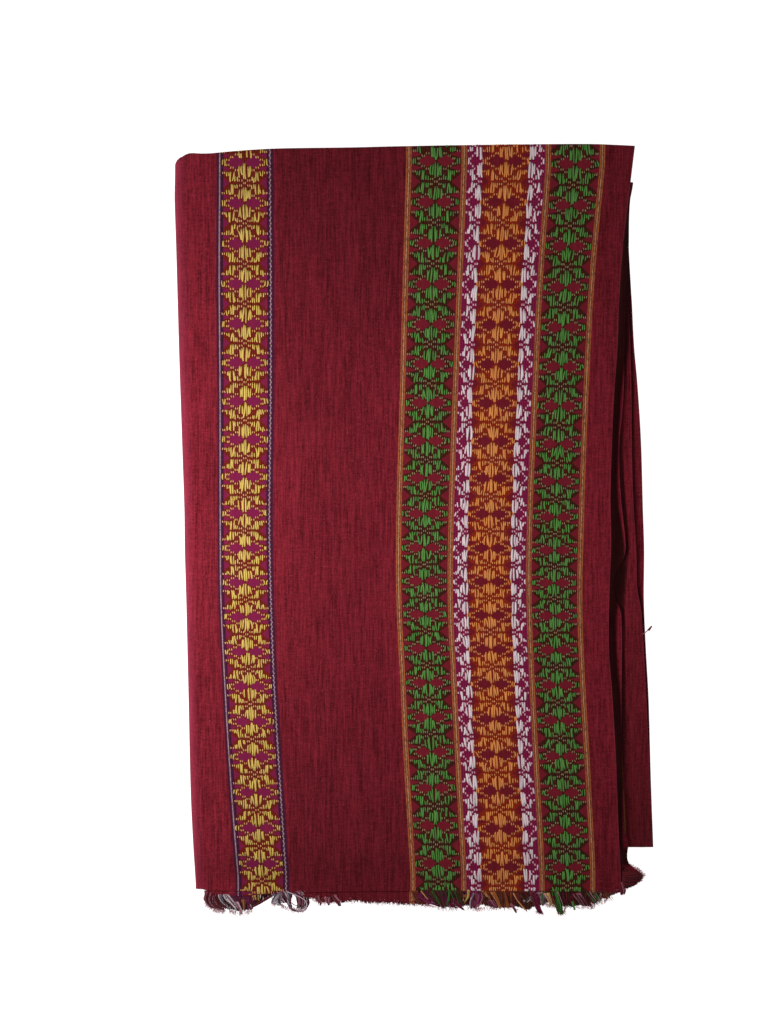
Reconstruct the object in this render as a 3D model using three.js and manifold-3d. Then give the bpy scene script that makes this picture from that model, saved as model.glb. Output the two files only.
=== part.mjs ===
// A folded dokhona: one length of handloom cotton with two fringed ends, lying flat.
// Millimetres, +Z up, +Y towards the folded top edge, +X towards the selvedges.
// The length is folded in four along its length and in three across its width, so twelve
// plies lie on each other. From the top the plies of the upper third are called a, d, c and b.
import * as THREE from 'three';
import * as BufferGeometryUtils from 'three/addons/utils/BufferGeometryUtils.js';
import Module from 'manifold-3d';

const wasm = await Module();
wasm.setup();

// Cloth, and how it is folded
const clothWidth = 1380;
const clothLength = 2970;
const pliesAlong = 4;
const foldsAcross = 3;
const wall = 1.0;
const gap = 0.3;
const plyPitch = wall + gap;
const bundle = pliesAlong * plyPitch - gap;
const foldedLength = clothLength / pliesAlong;
const foldedWidth = clothWidth / foldsAcross;

// Heights of the pile. Below the short fold only the two fringed plies of each third go on.
const lowerThirdsTop = 2 * pliesAlong * plyPitch - gap;
const pliesThatEndAtShortFold = 2;
const shortFoldY = -318;
const slopeLength = 36;
const lastSlopeRowY = -352;
const lowerDrop = 2 * pliesThatEndAtShortFold * plyPitch;
const fullDrop = 3 * pliesThatEndAtShortFold * plyPitch;
const crownHeight = 1.2;
const waveHeight = 0.5;

// Outline of the top ply. Its sides lean in towards the fringe.
const leftFold = [
  { y: 386, x: -238.9 },
  { y: 176, x: -234.6 },
  { y: -30, x: -229.2 },
  { y: -200, x: -224.6 },
  { y: -366, x: -218.0 },
];
const topSelvedge = [
  { y: 386, x: 219.8 },
  { y: 330, x: 213.8 },
  { y: 230, x: 205.6 },
  { y: 100, x: 198.2 },
  { y: -20, x: 195.8 },
  { y: -110, x: 194.2 },
  { y: -230, x: 200.6 },
  { y: -366, x: 208.0 },
];
const topFoldLine = [
  { x: -239, y: 374.5 },
  { x: -150, y: 381.3 },
  { x: -30, y: 383.3 },
  { x: 110, y: 386.2 },
  { x: 220, y: 383.4 },
];
const fringedEdge = [
  { x: -220, y: -359.0 },
  { x: -170, y: -363.0 },
  { x: -110, y: -360.6 },
  { x: 30, y: -360.8 },
  { x: 210, y: -362.6 },
];

// Right edges of the plies that fan out below the top one
const secondSelvedge = [
  { y: 350, x: 217.9 },
  { y: 320, x: 211.6 },
  { y: 200, x: 208.6 },
  { y: 60, x: 208.8 },
  { y: -16, x: 211.4 },
  { y: -80, x: 204.6 },
  { y: -200, x: 207.4 },
  { y: -300, x: 209.0 },
];
const thirdSelvedge = [
  { y: 350, x: 213.0 },
  { y: 260, x: 210.5 },
  { y: 146, x: 214.5 },
  { y: 30, x: 220.5 },
  { y: -70, x: 225.5 },
  { y: -170, x: 230.5 },
  { y: -320, x: 238.6 },
];
const fourthSelvedge = [
  { y: 350, x: 215.4 },
  { y: 260, x: 215.2 },
  { y: 146, x: 223.0 },
  { y: 20, x: 229.2 },
  { y: -70, x: 229.3 },
  { y: -200, x: 234.6 },
  { y: -320, x: 239.0 },
];
const frayedCorner = [
  { y: -326, reach: 0 },
  { y: -333, reach: 4.0 },
  { y: -345, reach: 19.6 },
  { y: -358, reach: 1.5 },
];

// The second ply's frayed end reaches past the top ply's in the middle
const secondEndRows = [
  { x: -220, y: -354 },
  { x: -106, y: -356 },
  { x: -84, y: -370 },
  { x: -5, y: -370.5 },
  { x: 16, y: -360 },
  { x: 230, y: -357 },
];

// Folds and laps
const leftFoldDepth = 7.0;
const lapUnderLeft = 25;
const topFold = { radius: bundle / 2, turn: Math.PI, tail: 18 };
const lowFold = { radius: 1.6, turn: Math.PI * 5 / 6, tail: 0.5 };
const secondFold = { radius: (2 * plyPitch - gap) / 2, turn: Math.PI, tail: 12 };
const secondFoldY = 348;
const lowerSetBack = 4;
const rightFoldInside = 12;
const rightFoldTurn = Math.PI * 0.7;
const plyInsideLeftFold = 8;
const overhangLength = 48;
const overhangStart = 3;
const overhangDrop = 9.4;
const slopeStiffness = 0.55;
const overhangShare = { a: 0.35, d: 0.6, c: 0.85, b: 1 };

// The hidden layers' rounded sides, in shares of half their height or millimetres
const rimLevels = 14;
const layerRipple = 0.35;
const lobeFrom = 0.29;
const leftBulge = 0.8;
const rightBulge = 0.5;
const endBulge = 0.6;
const topBulge = 2.8;

// Loose warp ends
const lockSides = 3;
const lockRadius = 0.62;
const lockTaper = 0.55;
const stripDepth = 3;
const stripThickness = 0.9;
const lowestTip = 0.9;
const lockBend = 0.35;
const lockUnevenness = 0.22;
const lockSpread = 0.8;
const fallLength = 20;

const clothColour = 0x7a2230;
const underColour = 0x6a1e2a;
const fringeColour = 0x8a3340;

// Smooth curve through a table's rows, read at one value of the driving column
function through(rows, from, to) {
  const sorted = [...rows].sort((p, q) => p[from] - q[from]);
  const slope = (i) => {
    const before = sorted[Math.max(i - 1, 0)];
    const after = sorted[Math.min(i + 1, sorted.length - 1)];
    return (after[to] - before[to]) / (after[from] - before[from]);
  };
  return (value) => {
    const last = sorted.length - 1;
    const held = THREE.MathUtils.clamp(value, sorted[0][from], sorted[last][from]);
    let i = 0;
    while (i < last - 1 && held > sorted[i + 1][from]) i += 1;
    const span = sorted[i + 1][from] - sorted[i][from];
    const t = (held - sorted[i][from]) / span;
    const rise = sorted[i + 1][to] - sorted[i][to];
    const a = slope(i) * span - rise;
    const b = rise - slope(i + 1) * span;
    return sorted[i][to] + rise * t + t * (1 - t) * (a * (1 - t) + b * t);
  };
}

const leftAt = through(leftFold, 'y', 'x');
const rightAt = through(topSelvedge, 'y', 'x');
const topAt = through(topFoldLine, 'x', 'y');
const bottomAt = through(fringedEdge, 'x', 'y');
const secondAt = through(secondSelvedge, 'y', 'x');
const thirdAt = through(thirdSelvedge, 'y', 'x');
const fourthAt = through(fourthSelvedge, 'y', 'x');
const cornerReachAt = through(frayedCorner, 'y', 'reach');
const secondEndAt = through(secondEndRows, 'x', 'y');
const smooth = (value, low, high) => THREE.MathUtils.smoothstep(value, low, high);
const lerp = THREE.MathUtils.lerp;

// Where the lower thirds' fold lies, under the top ply's selvedge
const rightFoldAt = (y) => rightAt(y) - rightFoldInside;

// Below the short fold the plies slope down to the few that go on to the fringe
const slopeStartY = shortFoldY - 1;
const slopeShare = (y) => 1 - smooth(y, slopeStartY - slopeLength, slopeStartY);
const lowerTop = (y) => lowerThirdsTop - lowerDrop * slopeShare(y);

// Soft rise of the upper plies, nothing at the folds
function crown(x, y) {
  const across = Math.max(0, 1 - (x / (foldedWidth / 2)) ** 2);
  const along = Math.max(0, 1 - (y / (foldedLength / 2)) ** 2);
  const wave = Math.sin(x / 52 + y / 210) * Math.cos(y / 120 - x / 300);
  return across * along * (crownHeight + waveHeight * wave);
}

// Height of the top face of one of the upper plies: 1 is b, the lowest, and 4 is a
const plyNumber = { b: 1, c: 2, d: 3, a: 4 };
function plyTop(ply, x, y) {
  const flat = lowerThirdsTop + plyNumber[ply] * plyPitch;
  const reach = x - rightFoldAt(y) + overhangStart;
  const over = overhangDrop * smooth(reach, 0, overhangLength);
  const held = 1 - slopeStiffness * slopeShare(y);
  const dropped = fullDrop * slopeShare(y);
  return flat - dropped + crown(x, y) - overhangShare[ply] * over * held;
}

// Closed wall between two grids of points, with the rows in `rims` as rings round its edge
function closedWall(outer, inner, rims = []) {
  const rows = outer.length;
  const columns = outer[0].length;
  const points = [];
  const faces = [];
  const number = (grid) => grid.map((row) => row.map((p) => points.push(p) - 1));
  const outerIndex = number(outer);
  const innerIndex = number(inner);
  for (let i = 0; i < rows - 1; i += 1) {
    for (let j = 0; j < columns - 1; j += 1) {
      const o = [outerIndex[i][j], outerIndex[i][j + 1], outerIndex[i + 1][j + 1], outerIndex[i + 1][j]];
      const n = [innerIndex[i][j], innerIndex[i][j + 1], innerIndex[i + 1][j + 1], innerIndex[i + 1][j]];
      faces.push([o[0], o[1], o[2]], [o[0], o[2], o[3]]);
      faces.push([n[0], n[2], n[1]], [n[0], n[3], n[2]]);
    }
  }
  const places = edgeOf(rows, columns);
  const rings = [places.map(([i, j]) => outerIndex[i][j])];
  rims.forEach((rim) => rings.push(rim.map((p) => points.push(p) - 1)));
  rings.push(places.map(([i, j]) => innerIndex[i][j]));
  for (let r = 0; r < rings.length - 1; r += 1) {
    for (let k = 0; k < places.length; k += 1) {
      const next = (k + 1) % places.length;
      faces.push([rings[r][k], rings[r + 1][k], rings[r + 1][next]]);
      faces.push([rings[r][k], rings[r + 1][next], rings[r][next]]);
    }
  }
  return solidOf(points, faces);
}

// Closed geometry with its faces turned outwards
function solidOf(points, faces) {
  const volume = faces.reduce((sum, [a, b, c]) => (
    sum + points[a].dot(new THREE.Vector3().crossVectors(points[b], points[c]))
  ), 0);
  const outward = volume > 0 ? faces : faces.map(([a, b, c]) => [a, c, b]);
  const geometry = new THREE.BufferGeometry();
  const flat = points.flatMap((p) => [p.x, p.y, p.z]);
  geometry.setAttribute('position', new THREE.Float32BufferAttribute(flat, 3));
  geometry.setIndex(outward.flat());
  return geometry;
}

// Places of a grid's edge points, in the order of its outline
function edgeOf(rows, columns) {
  const places = [];
  for (let j = 0; j < columns - 1; j += 1) places.push([0, j]);
  for (let i = 0; i < rows - 1; i += 1) places.push([i, columns - 1]);
  for (let j = columns - 1; j > 0; j -= 1) places.push([rows - 1, j]);
  for (let i = rows - 1; i > 0; i -= 1) places.push([i, 0]);
  return places;
}

// A wall, and the points of its end at the fringe
const wallAndEnd = (outer, inner, rims) => ({ geometry: closedWall(outer, inner, rims), end: outer[0] });

const steps = (count) => Array.from({ length: count + 1 }, (_, i) => i / count);

// Rows of points along the cloth, the same on every ply, so that the plies keep their gaps
const slopeRows = steps(5).map((t) => lerp(lastSlopeRowY, slopeStartY, t));
const mainRows = [-240, -150, -60, 30, 120, 210, 280, 320];
const fixedRow = (y) => ({ y: () => y, near: y, turned: 0, tail: 0 });
const curvedRow = (y, near) => ({ y, near, turned: 0, tail: 0 });

// The rows of a fold: the start of its turn, the turn itself, then its straight tail
function foldRows(line, near, count) {
  const turn = steps(count).map((turned) => ({ y: line, near, turned, tail: 0 }));
  return [...turn, { y: line, near, turned: 1, tail: 1 }];
}

// Columns of a ply, from its right edge over the lower fold's line to the left
const overhangShares = [0, 0.3, 0.65];
function columnsFrom(edgeAt) {
  const foldLine = (y) => rightFoldAt(y) - overhangStart;
  const inside = (y) => leftAt(y) + plyInsideLeftFold;
  return [
    ...overhangShares.map((share) => (y) => lerp(edgeAt(y), foldLine(y), share)),
    ...steps(8).map((share) => (y) => lerp(foldLine(y), inside(y), share)),
  ];
}

// How far a row lies past the start of a fold, and how deep under the outer face
function foldOffset(row, fold, inside) {
  const r = fold.radius - inside;
  const angle = fold.turn * row.turned;
  return {
    past: r * Math.sin(angle) - fold.tail * row.tail,
    depth: fold.radius - r * Math.cos(angle),
  };
}

// The top ply: selvedge, upper run, round the left fold, lap under. At the top it turns in.
function upperStretch() {
  const foldLine = (x, fold) => topAt(x) - fold.radius;
  const rows = [
    curvedRow(bottomAt, fringedEdge[0].y),
    ...[...slopeRows, ...mainRows].map(fixedRow),
    ...foldRows(foldLine, topFoldLine[0].y, 4),
  ];
  const columns = columnsFrom(rightAt).map((x) => ({ x, angle: 0, lap: 0, fold: topFold }));
  const foldStart = (y) => leftAt(y) + Math.min(leftFoldDepth, plyTop('a', leftAt(y), y) / 2);
  const turn = (t) => ({ x: foldStart, angle: Math.PI * t, lap: 0, fold: t > 0 ? lowFold : topFold });
  const lap = { x: foldStart, angle: Math.PI, lap: lapUnderLeft, fold: lowFold };
  const allColumns = [...columns, ...steps(6).map(turn), lap];
  const place = (inside) => rows.map((row) => allColumns.map((column) => {
    const { past, depth } = foldOffset(row, column.fold, inside);
    const y = row.y(column.x(row.near), column.fold) + past;
    const x = column.x(y);
    if (column.angle === 0) return new THREE.Vector3(x, y, plyTop('a', x, y) - depth);
    const height = plyTop('a', leftAt(y), y);
    const radiusX = x - leftAt(y) - depth;
    const radiusZ = height / 2 - depth;
    return new THREE.Vector3(
      x - radiusX * Math.sin(column.angle) + column.lap,
      y,
      height / 2 + radiusZ * Math.cos(column.angle),
    );
  }));
  return wallAndEnd(place(0), place(wall));
}

// The second ply: its frayed corner sticks out at the right, and its top turns under
function secondPly() {
  const edgeAt = (y) => secondAt(y) + cornerReachAt(y);
  const rows = [
    curvedRow(secondEndAt, secondEndRows[0].y),
    ...[...slopeRows, ...mainRows].map(fixedRow),
    ...foldRows(() => secondFoldY - secondFold.radius, secondFoldY, 3),
  ];
  const place = (inside) => rows.map((row) => columnsFrom(edgeAt).map((column) => {
    const { past, depth } = foldOffset(row, secondFold, inside);
    const y = row.y(column(row.near)) + past;
    const x = column(y);
    return new THREE.Vector3(x, y, plyTop('d', x, y) - depth);
  }));
  return wallAndEnd(place(0), place(wall));
}

// The two plies joined by the short fold, fanned out at the right
function innerFold() {
  const radius = secondFold.radius;
  const topEnd = secondFoldY - radius - secondFold.tail - gap;
  const straight = [topEnd, ...[...mainRows].reverse(), shortFoldY + radius];
  const upper = straight.map((y) => ({ y, turn: 0 }));
  const turns = steps(4).slice(1, -1).map((t) => ({ y: shortFoldY + radius, turn: Math.PI * t }));
  const lower = [...straight].reverse().map((y) => ({ y, turn: Math.PI }));
  const place = (inside) => [...upper, ...turns, ...lower].map((row) => {
    const y = row.y - (radius - inside) * Math.sin(row.turn);
    const share = (1 - Math.cos(row.turn)) / 2;
    const edgeAt = (at) => lerp(thirdAt(at), fourthAt(at), share);
    return columnsFrom(edgeAt).map((column) => {
      const x = column(y);
      const above = plyTop('c', x, y) - inside;
      const below = plyTop('b', x, y) - wall + inside;
      return new THREE.Vector3(x, y, lerp(above, below, share));
    });
  });
  return wallAndEnd(place(0), place(wall));
}

// Columns of the lower thirds, from the left to the start of their right fold
const lowerColumns = (from, to) => steps(9).map((share) => (y) => lerp(from(y), to(y), share));

// The ply that the cloth lies on: flat, round the right fold, its top turned up
function underStretch() {
  const foldLine = (x) => topAt(x) - lowerSetBack - lowFold.radius;
  const end = (x) => bottomAt(x) + lowerSetBack;
  const rows = [
    curvedRow(end, fringedEdge[0].y),
    ...[...slopeRows, ...mainRows].map(fixedRow),
    ...foldRows(foldLine, topFoldLine[0].y, 4),
  ];
  const start = (y) => leftAt(y) + leftFoldDepth + lapUnderLeft + gap;
  const turnLine = (y) => rightFoldAt(y) - lowerTop(y) / 2;
  const columns = [
    ...lowerColumns(start, turnLine).map((x) => ({ x, angle: 0 })),
    ...steps(6).slice(1).map((t) => ({ x: turnLine, angle: rightFoldTurn * t })),
  ];
  const place = (inside) => rows.map((row) => columns.map((column) => {
    const { past, depth } = foldOffset(row, lowFold, inside);
    const y = row.y(column.x(row.near)) + past;
    const half = lowerTop(y) / 2;
    const radius = half - Math.min(depth, half - gap);
    return new THREE.Vector3(
      column.x(y) + radius * Math.sin(column.angle),
      y,
      half - radius * Math.cos(column.angle),
    );
  }));
  return wallAndEnd(place(wall), place(0));
}

// The hidden plies as one rounded solid, with the layers told apart along its edges
function coreLayers() {
  const base = wall + gap;
  const foldLine = (x) => topAt(x) - lowerSetBack - lowFold.radius - 2 * gap;
  const end = (x) => bottomAt(x) + lowerSetBack + 1;
  const rows = [
    curvedRow(end, fringedEdge[0].y),
    ...[...slopeRows, ...mainRows].map(fixedRow),
    curvedRow(foldLine, topFoldLine[0].y),
  ];
  const left = (y) => leftAt(y) + leftFoldDepth + gap;
  const right = (y) => rightFoldAt(y) - lowerTop(y) / 2;
  const place = (share) => rows.map((row) => lowerColumns(left, right).map((column) => {
    const y = row.y(column(row.near));
    return new THREE.Vector3(column(y), y, lerp(base, lowerTop(y), share));
  }));
  const bulge = (share) => Math.sqrt(Math.max(0, 1 - (2 * share - 1) ** 2));
  const rim = (share) => {
    const grid = place(share);
    const round = bulge(share);
    const lobe = share > lobeFrom ? bulge((share - lobeFrom) / (1 - lobeFrom)) : 0;
    const layer = layerRipple * Math.cos(Math.PI * share * rimLevels);
    return edgeOf(rows.length, grid[0].length).map(([i, j]) => {
      const p = grid[i][j];
      const half = (lowerTop(p.y) - base) / 2;
      if (j === 0) p.x -= leftBulge * half * round;
      if (j === grid[0].length - 1) p.x += rightBulge * half * round;
      if (i === 0) p.y -= endBulge * round + layer;
      if (i === rows.length - 1 && j < grid[0].length - 1) p.y += (topBulge + layer) * lobe;
      return p;
    });
  };
  const shares = steps(rimLevels).slice(1, -1).reverse();
  return wallAndEnd(place(1), place(0), shares.map(rim));
}

function manifoldOf(geometry) {
  const bare = geometry.clone();
  bare.deleteAttribute('normal');
  bare.deleteAttribute('uv');
  const merged = BufferGeometryUtils.mergeVertices(bare, 1e-4);
  return new wasm.Manifold(new wasm.Mesh({
    numProp: 3,
    vertProperties: new Float32Array(merged.attributes.position.array),
    triVerts: new Uint32Array(merged.index.array),
  }));
}

function geometryOf(manifold) {
  const mesh = manifold.getMesh();
  const geometry = new THREE.BufferGeometry();
  geometry.setAttribute('position', new THREE.Float32BufferAttribute(mesh.vertProperties, 3));
  geometry.setIndex(Array.from(mesh.triVerts));
  return geometry;
}

// One lock of warp ends: a thin tapered rod that bends down from root to tip
function lock(root, middle, tip) {
  const path = [root, middle, tip];
  const sizes = [1, (1 + lockTaper) / 2, lockTaper];
  const grid = path.map((p, i) => steps(lockSides).slice(0, -1).map((t) => {
    const angle = 2 * Math.PI * t + Math.PI / 2;
    const r = lockRadius * sizes[i];
    return new THREE.Vector3(p.x + r * Math.cos(angle), p.y, p.z + r * Math.sin(angle));
  }));
  const points = grid.flat();
  const last = (path.length - 1) * lockSides;
  const faces = [[0, 1, 2], [last, last + 2, last + 1]];
  for (let i = 0; i < path.length - 1; i += 1) {
    for (let k = 0; k < lockSides; k += 1) {
      const a = i * lockSides + k;
      const b = i * lockSides + ((k + 1) % lockSides);
      faces.push([a, a + lockSides, b + lockSides], [a, b + lockSides, b]);
    }
  }
  return solidOf(points, faces);
}

// The straight pieces between a ply's end points, read at x
function endReader(end) {
  const points = [...end].sort((p, q) => p.x - q.x);
  return (x) => {
    let i = 0;
    while (i < points.length - 2 && x > points[i + 1].x) i += 1;
    const t = (x - points[i].x) / (points[i + 1].x - points[i].x);
    return points[i].clone().lerp(points[i + 1], t);
  };
}

// A fringe: a narrow strip just off the cloth's end, with its locks fused into it
function fringe({ from, to, end, out, below, tufts, fall, pitch }) {
  const endAt = endReader(end);
  const inner = end.map((p) => p.x).filter((x) => x > from && x < to).sort((p, q) => p - q);
  const strip = (under) => [stripDepth, 0].map((depth) => [from, ...inner, to].map((x) => {
    const p = endAt(x);
    return new THREE.Vector3(x, p.y - out - depth, p.z - below - under);
  }));
  let solid = manifoldOf(closedWall(strip(0), strip(stripThickness)));
  const count = Math.floor((to - from) / pitch);
  for (let i = 0; i < count; i += 1) {
    const x = lerp(from, to, (i + 0.5) / count);
    const tuft = tufts.find((row) => x < row.until);
    const uneven = 1 + lockUnevenness * Math.sin(i * 2.4) * Math.cos(i * 0.7);
    const length = tuft.length * uneven;
    const lean = tuft.lean + lockSpread * Math.sin(i * 1.3);
    const p = endAt(x);
    const rootZ = p.z - below - stripThickness / 2;
    const rootY = p.y - out - stripDepth / 2;
    const tipZ = Math.max(lowestTip, rootZ - fall * (length / fallLength) ** 2);
    solid = solid.add(manifoldOf(lock(
      new THREE.Vector3(x, rootY, rootZ),
      new THREE.Vector3(x + lean * 0.4, rootY - (stripDepth + length) / 2, lerp(rootZ, tipZ, lockBend)),
      new THREE.Vector3(x + lean, rootY - stripDepth / 2 - length, tipZ),
    )));
  }
  return geometryOf(solid);
}

// Tufts along the top ply's fringe, each up to its right-hand end
const upperTufts = [
  { until: -164, length: 18, lean: 0.5 },
  { until: -141, length: 11, lean: 1.5 },
  { until: -108, length: 15, lean: -1.0 },
  { until: 18, length: 3, lean: 0.5 },
  { until: 55, length: 9, lean: 0.8 },
  { until: 72, length: 13, lean: -0.6 },
  { until: 122, length: 18, lean: 2.4 },
  { until: 156, length: 20, lean: 0.6 },
  { until: 178, length: 12, lean: 0.8 },
  { until: 195, length: 8, lean: 2.0 },
  { until: 230, length: 2.5, lean: 0.4 },
];
const secondTufts = [{ until: 230, length: 3.5, lean: 0.4 }];
const lowerTufts = [
  { until: -60, length: 9, lean: 0.6 },
  { until: 60, length: 7, lean: -0.6 },
  { until: 230, length: 10, lean: 1.0 },
];

const group = new THREE.Group();

function addPiece(name, geometry, colour, roughness = 0.9) {
  const material = new THREE.MeshStandardMaterial({ color: colour, roughness, metalness: 0 });
  const mesh = new THREE.Mesh(geometry, material);
  mesh.name = name;
  group.add(mesh);
}

const upper = upperStretch();
const second = secondPly();
const core = coreLayers();
addPiece('upper_stretch', upper.geometry, clothColour);
addPiece('second_ply', second.geometry, clothColour);
addPiece('inner_fold', innerFold().geometry, clothColour);
addPiece('core_layers', core.geometry, underColour);
addPiece('under_stretch', underStretch().geometry, clothColour);

addPiece('upper_fringe', fringe({
  from: -209,
  to: 205,
  end: upper.end.slice(0, columnsFrom(rightAt).length),
  out: gap,
  below: 0,
  tufts: upperTufts,
  fall: 5,
  pitch: 5.2,
}), fringeColour);
addPiece('second_fringe', fringe({
  from: -80,
  to: -2,
  end: second.end,
  out: gap,
  below: 0,
  tufts: secondTufts,
  fall: 4,
  pitch: 4.4,
}), fringeColour);
addPiece('lower_fringe', fringe({
  from: -200,
  to: 186,
  end: core.end,
  out: endBulge + layerRipple + gap,
  below: plyPitch,
  tufts: lowerTufts,
  fall: 4,
  pitch: 6.5,
}), fringeColour);

export default group;
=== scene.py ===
import math

import bpy
import numpy as np
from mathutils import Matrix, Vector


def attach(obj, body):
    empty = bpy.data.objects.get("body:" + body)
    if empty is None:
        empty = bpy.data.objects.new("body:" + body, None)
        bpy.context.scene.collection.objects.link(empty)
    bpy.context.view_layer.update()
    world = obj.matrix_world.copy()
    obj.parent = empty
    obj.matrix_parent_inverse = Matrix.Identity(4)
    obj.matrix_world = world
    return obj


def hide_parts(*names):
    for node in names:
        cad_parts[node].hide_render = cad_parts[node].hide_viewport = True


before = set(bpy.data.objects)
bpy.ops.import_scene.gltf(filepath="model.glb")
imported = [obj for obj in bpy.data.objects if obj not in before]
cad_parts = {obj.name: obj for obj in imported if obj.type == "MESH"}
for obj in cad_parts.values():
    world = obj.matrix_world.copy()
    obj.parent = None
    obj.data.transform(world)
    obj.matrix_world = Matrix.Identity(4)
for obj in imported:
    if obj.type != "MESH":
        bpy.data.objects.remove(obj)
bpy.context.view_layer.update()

# A folded dokhona: thin cloth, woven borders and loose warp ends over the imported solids.
# Lengths are in millimetres and turn into metres when a mesh is made.
MM = 0.001
# Place (u, v) of the part's middle in the picture, where one step is one millimetre
PHOTO_MIDDLE = (414.5, 530)
random = np.random.default_rng(11)

# Cloth and folds, with the solids' values. A fold is (radius, turn, what is tucked under).
WALL = 1.0
GAP = 0.3
PITCH = WALL + GAP
FOLDED_LENGTH = 742.5
FOLDED_WIDTH = 460
LOWER_TOP = 10.1
LOWER_DROP = 5.2
FULL_DROP = 7.8
SHORT_FOLD_Y = -318
SLOPE_START_Y = -319
SLOPE_LENGTH = 36
LAST_SLOPE_Y = -352
CROWN = 1.2
WAVE = 0.5
LEFT_DEPTH = 7.0
LEFT_LAP = 25
TOP_FOLD = (2.45, math.pi, 18)
LOW_FOLD = (1.6, math.pi * 5 / 6, 0.5)
SECOND_FOLD = (1.15, math.pi, 12)
SECOND_FOLD_Y = 348
LOWER_SET_BACK = 4
RIGHT_INSIDE = 12
RIGHT_TURN = math.pi * 0.7
INSIDE_LEFT = 8
OVERHANG_LENGTH = 48
OVERHANG_START = 3
OVERHANG_DROP = 9.4
STIFFNESS = 0.55
OVERHANG_SHARE = {"a": 0.35, "d": 0.6, "c": 0.85, "b": 1}
PLY_NUMBER = {"b": 1, "c": 2, "d": 3, "a": 4}
LOWEST = 1.0
LOWEST_STEP = 1.1
CLOTH_THICKNESS = 0.55

# Steps between the points of the thin cloths
GRID = 3.7
PLY_GRID = 4.5
HIDDEN_GRID = 6.0
CURVED_ROWS = 50

# Widths of the flat parts, for the count of their points
UPPER_WIDTH = 428
PLY_WIDTH = 425
UNDER_WIDTH = 370
CORE_WIDTH = 410


def curve_through(*rows):
    """Smooth curve through rows of (where, value)"""
    rows = sorted(rows)
    at = np.array([row[0] for row in rows], float)
    to = np.array([row[1] for row in rows], float)
    last = len(at) - 1
    before = np.maximum(np.arange(last + 1) - 1, 0)
    after = np.minimum(np.arange(last + 1) + 1, last)
    slope = (to[after] - to[before]) / (at[after] - at[before])

    def read(value):
        held = np.clip(value, at[0], at[-1])
        i = np.clip(np.searchsorted(at, held) - 1, 0, last - 1)
        span = at[i + 1] - at[i]
        t = (held - at[i]) / span
        rise = to[i + 1] - to[i]
        a = slope[i] * span - rise
        b = rise - slope[i + 1] * span
        return to[i] + rise * t + t * (1 - t) * (a * (1 - t) + b * t)

    return read


def smoothstep(value, low, high):
    t = np.clip((value - low) / (high - low), 0, 1)
    return t * t * (3 - 2 * t)


def lerp(a, b, t):
    return a + (b - a) * t


def bump_at(value, middle, width):
    """Soft hill, 1 in its middle"""
    return np.exp(-((value - middle) / width) ** 2)


# Outlines, as x at each y or y at each x
left_at = curve_through(
    (386, -239.8), (358, -239.7), (342, -240.0), (330, -240.1), (280, -238.5), (180, -235.7), (80, -232.4),
    (20, -230.4), (-20, -229.9), (-70, -228.5), (-170, -226.1), (-270, -223.7), (-355, -219.2),
)
right_at = curve_through(
    (386, 220.4), (330, 213.6), (290, 208.8), (230, 204.3), (185, 202.8), (135, 199.3), (90, 197.3),
    (35, 195.7), (-15, 196.3), (-55, 194.9), (-115, 193.9), (-165, 197.5), (-230, 201.2),
    (-270, 202.6), (-310, 204.2), (-335, 205.8), (-366, 207.6),
)
top_at = curve_through(
    (-240, 367.5), (-234, 371.8), (-229, 375.0), (-224, 376.6), (-214, 376.2), (-204, 376.4),
    (-189, 377.8), (-164, 379.8), (-134, 381.3), (-64, 382.3), (-14, 383.5), (86, 385.1),
    (176, 385.7), (206, 384.6), (220, 384.0),
)
bottom_at = curve_through(
    (-220, -359.4), (-210, -359.9), (-204, -363.6), (-198, -365.4), (-168, -366.0), (-154, -365.0),
    (-140, -364.0), (-120, -363.0), (-60, -361.8), (-10, -361.2), (30, -361.4), (110, -362.4),
    (210, -362.8),
)
second_at = curve_through(
    (352, 217.2), (347, 218.8), (340, 217.8), (330, 216.0), (310, 215.0), (280, 214.6), (230, 211.6),
    (135, 209.2), (80, 204.8), (35, 206.4), (-15, 211.3), (-29, 209.5), (-44, 200.6), (-58, 199.0),
    (-70, 201.5), (-84, 206.9), (-165, 207.2), (-240, 208.0), (-300, 209.0),
)
third_at = curve_through(
    (350, 211.0), (338, 213.4), (325, 214.0), (270, 214.6), (230, 215.0), (146, 217.2), (80, 217.8),
    (30, 219.2), (-20, 222.2), (-60, 223.4), (-80, 227.2), (-170, 232.4), (-320, 239.4),
)
fourth_at = curve_through(
    (350, 212.0), (338, 213.6), (325, 214.2), (300, 214.8), (280, 215.2), (230, 218.0), (185, 220.2),
    (146, 223.6), (90, 227.2), (20, 229.2), (-20, 230.4), (-70, 230.1), (-120, 232.2), (-170, 234.9),
    (-250, 237.2), (-320, 239.7),
)
corner_reach_at = curve_through(
    (-300, 0), (-312, 5.0), (-333, 5.2), (-346, 19.5), (-353, 14.0), (-358, 6.0),
)
second_end_at = curve_through(
    (-220, -356), (-170, -360), (-130, -364), (-112, -367), (-102, -368.2), (-94, -371.4),
    (-78, -372.6), (-68, -371.0), (-58, -370.6), (-50, -372.0), (-30, -372.4), (-10, -373.8),
    (5, -374.6), (30, -374), (52, -368), (70, -360), (230, -357),
)


def right_fold_at(y):
    return right_at(y) - RIGHT_INSIDE


def slope_share(y):
    return 1 - smoothstep(y, SLOPE_START_Y - SLOPE_LENGTH, SLOPE_START_Y)


def lower_top(y):
    return LOWER_TOP - LOWER_DROP * slope_share(y)


# Soft creases across the cloth, as (y in the middle, slope, depth, half width), and its swells
CREASES = ((-26, -0.04, 0.45, 5), (150, 0.03, 0.3, 7))
SWELL = 0.22
RIPPLE = 0.12
RIPPLED_MIDDLE = -135
RIPPLED_HALF = 75


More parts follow.
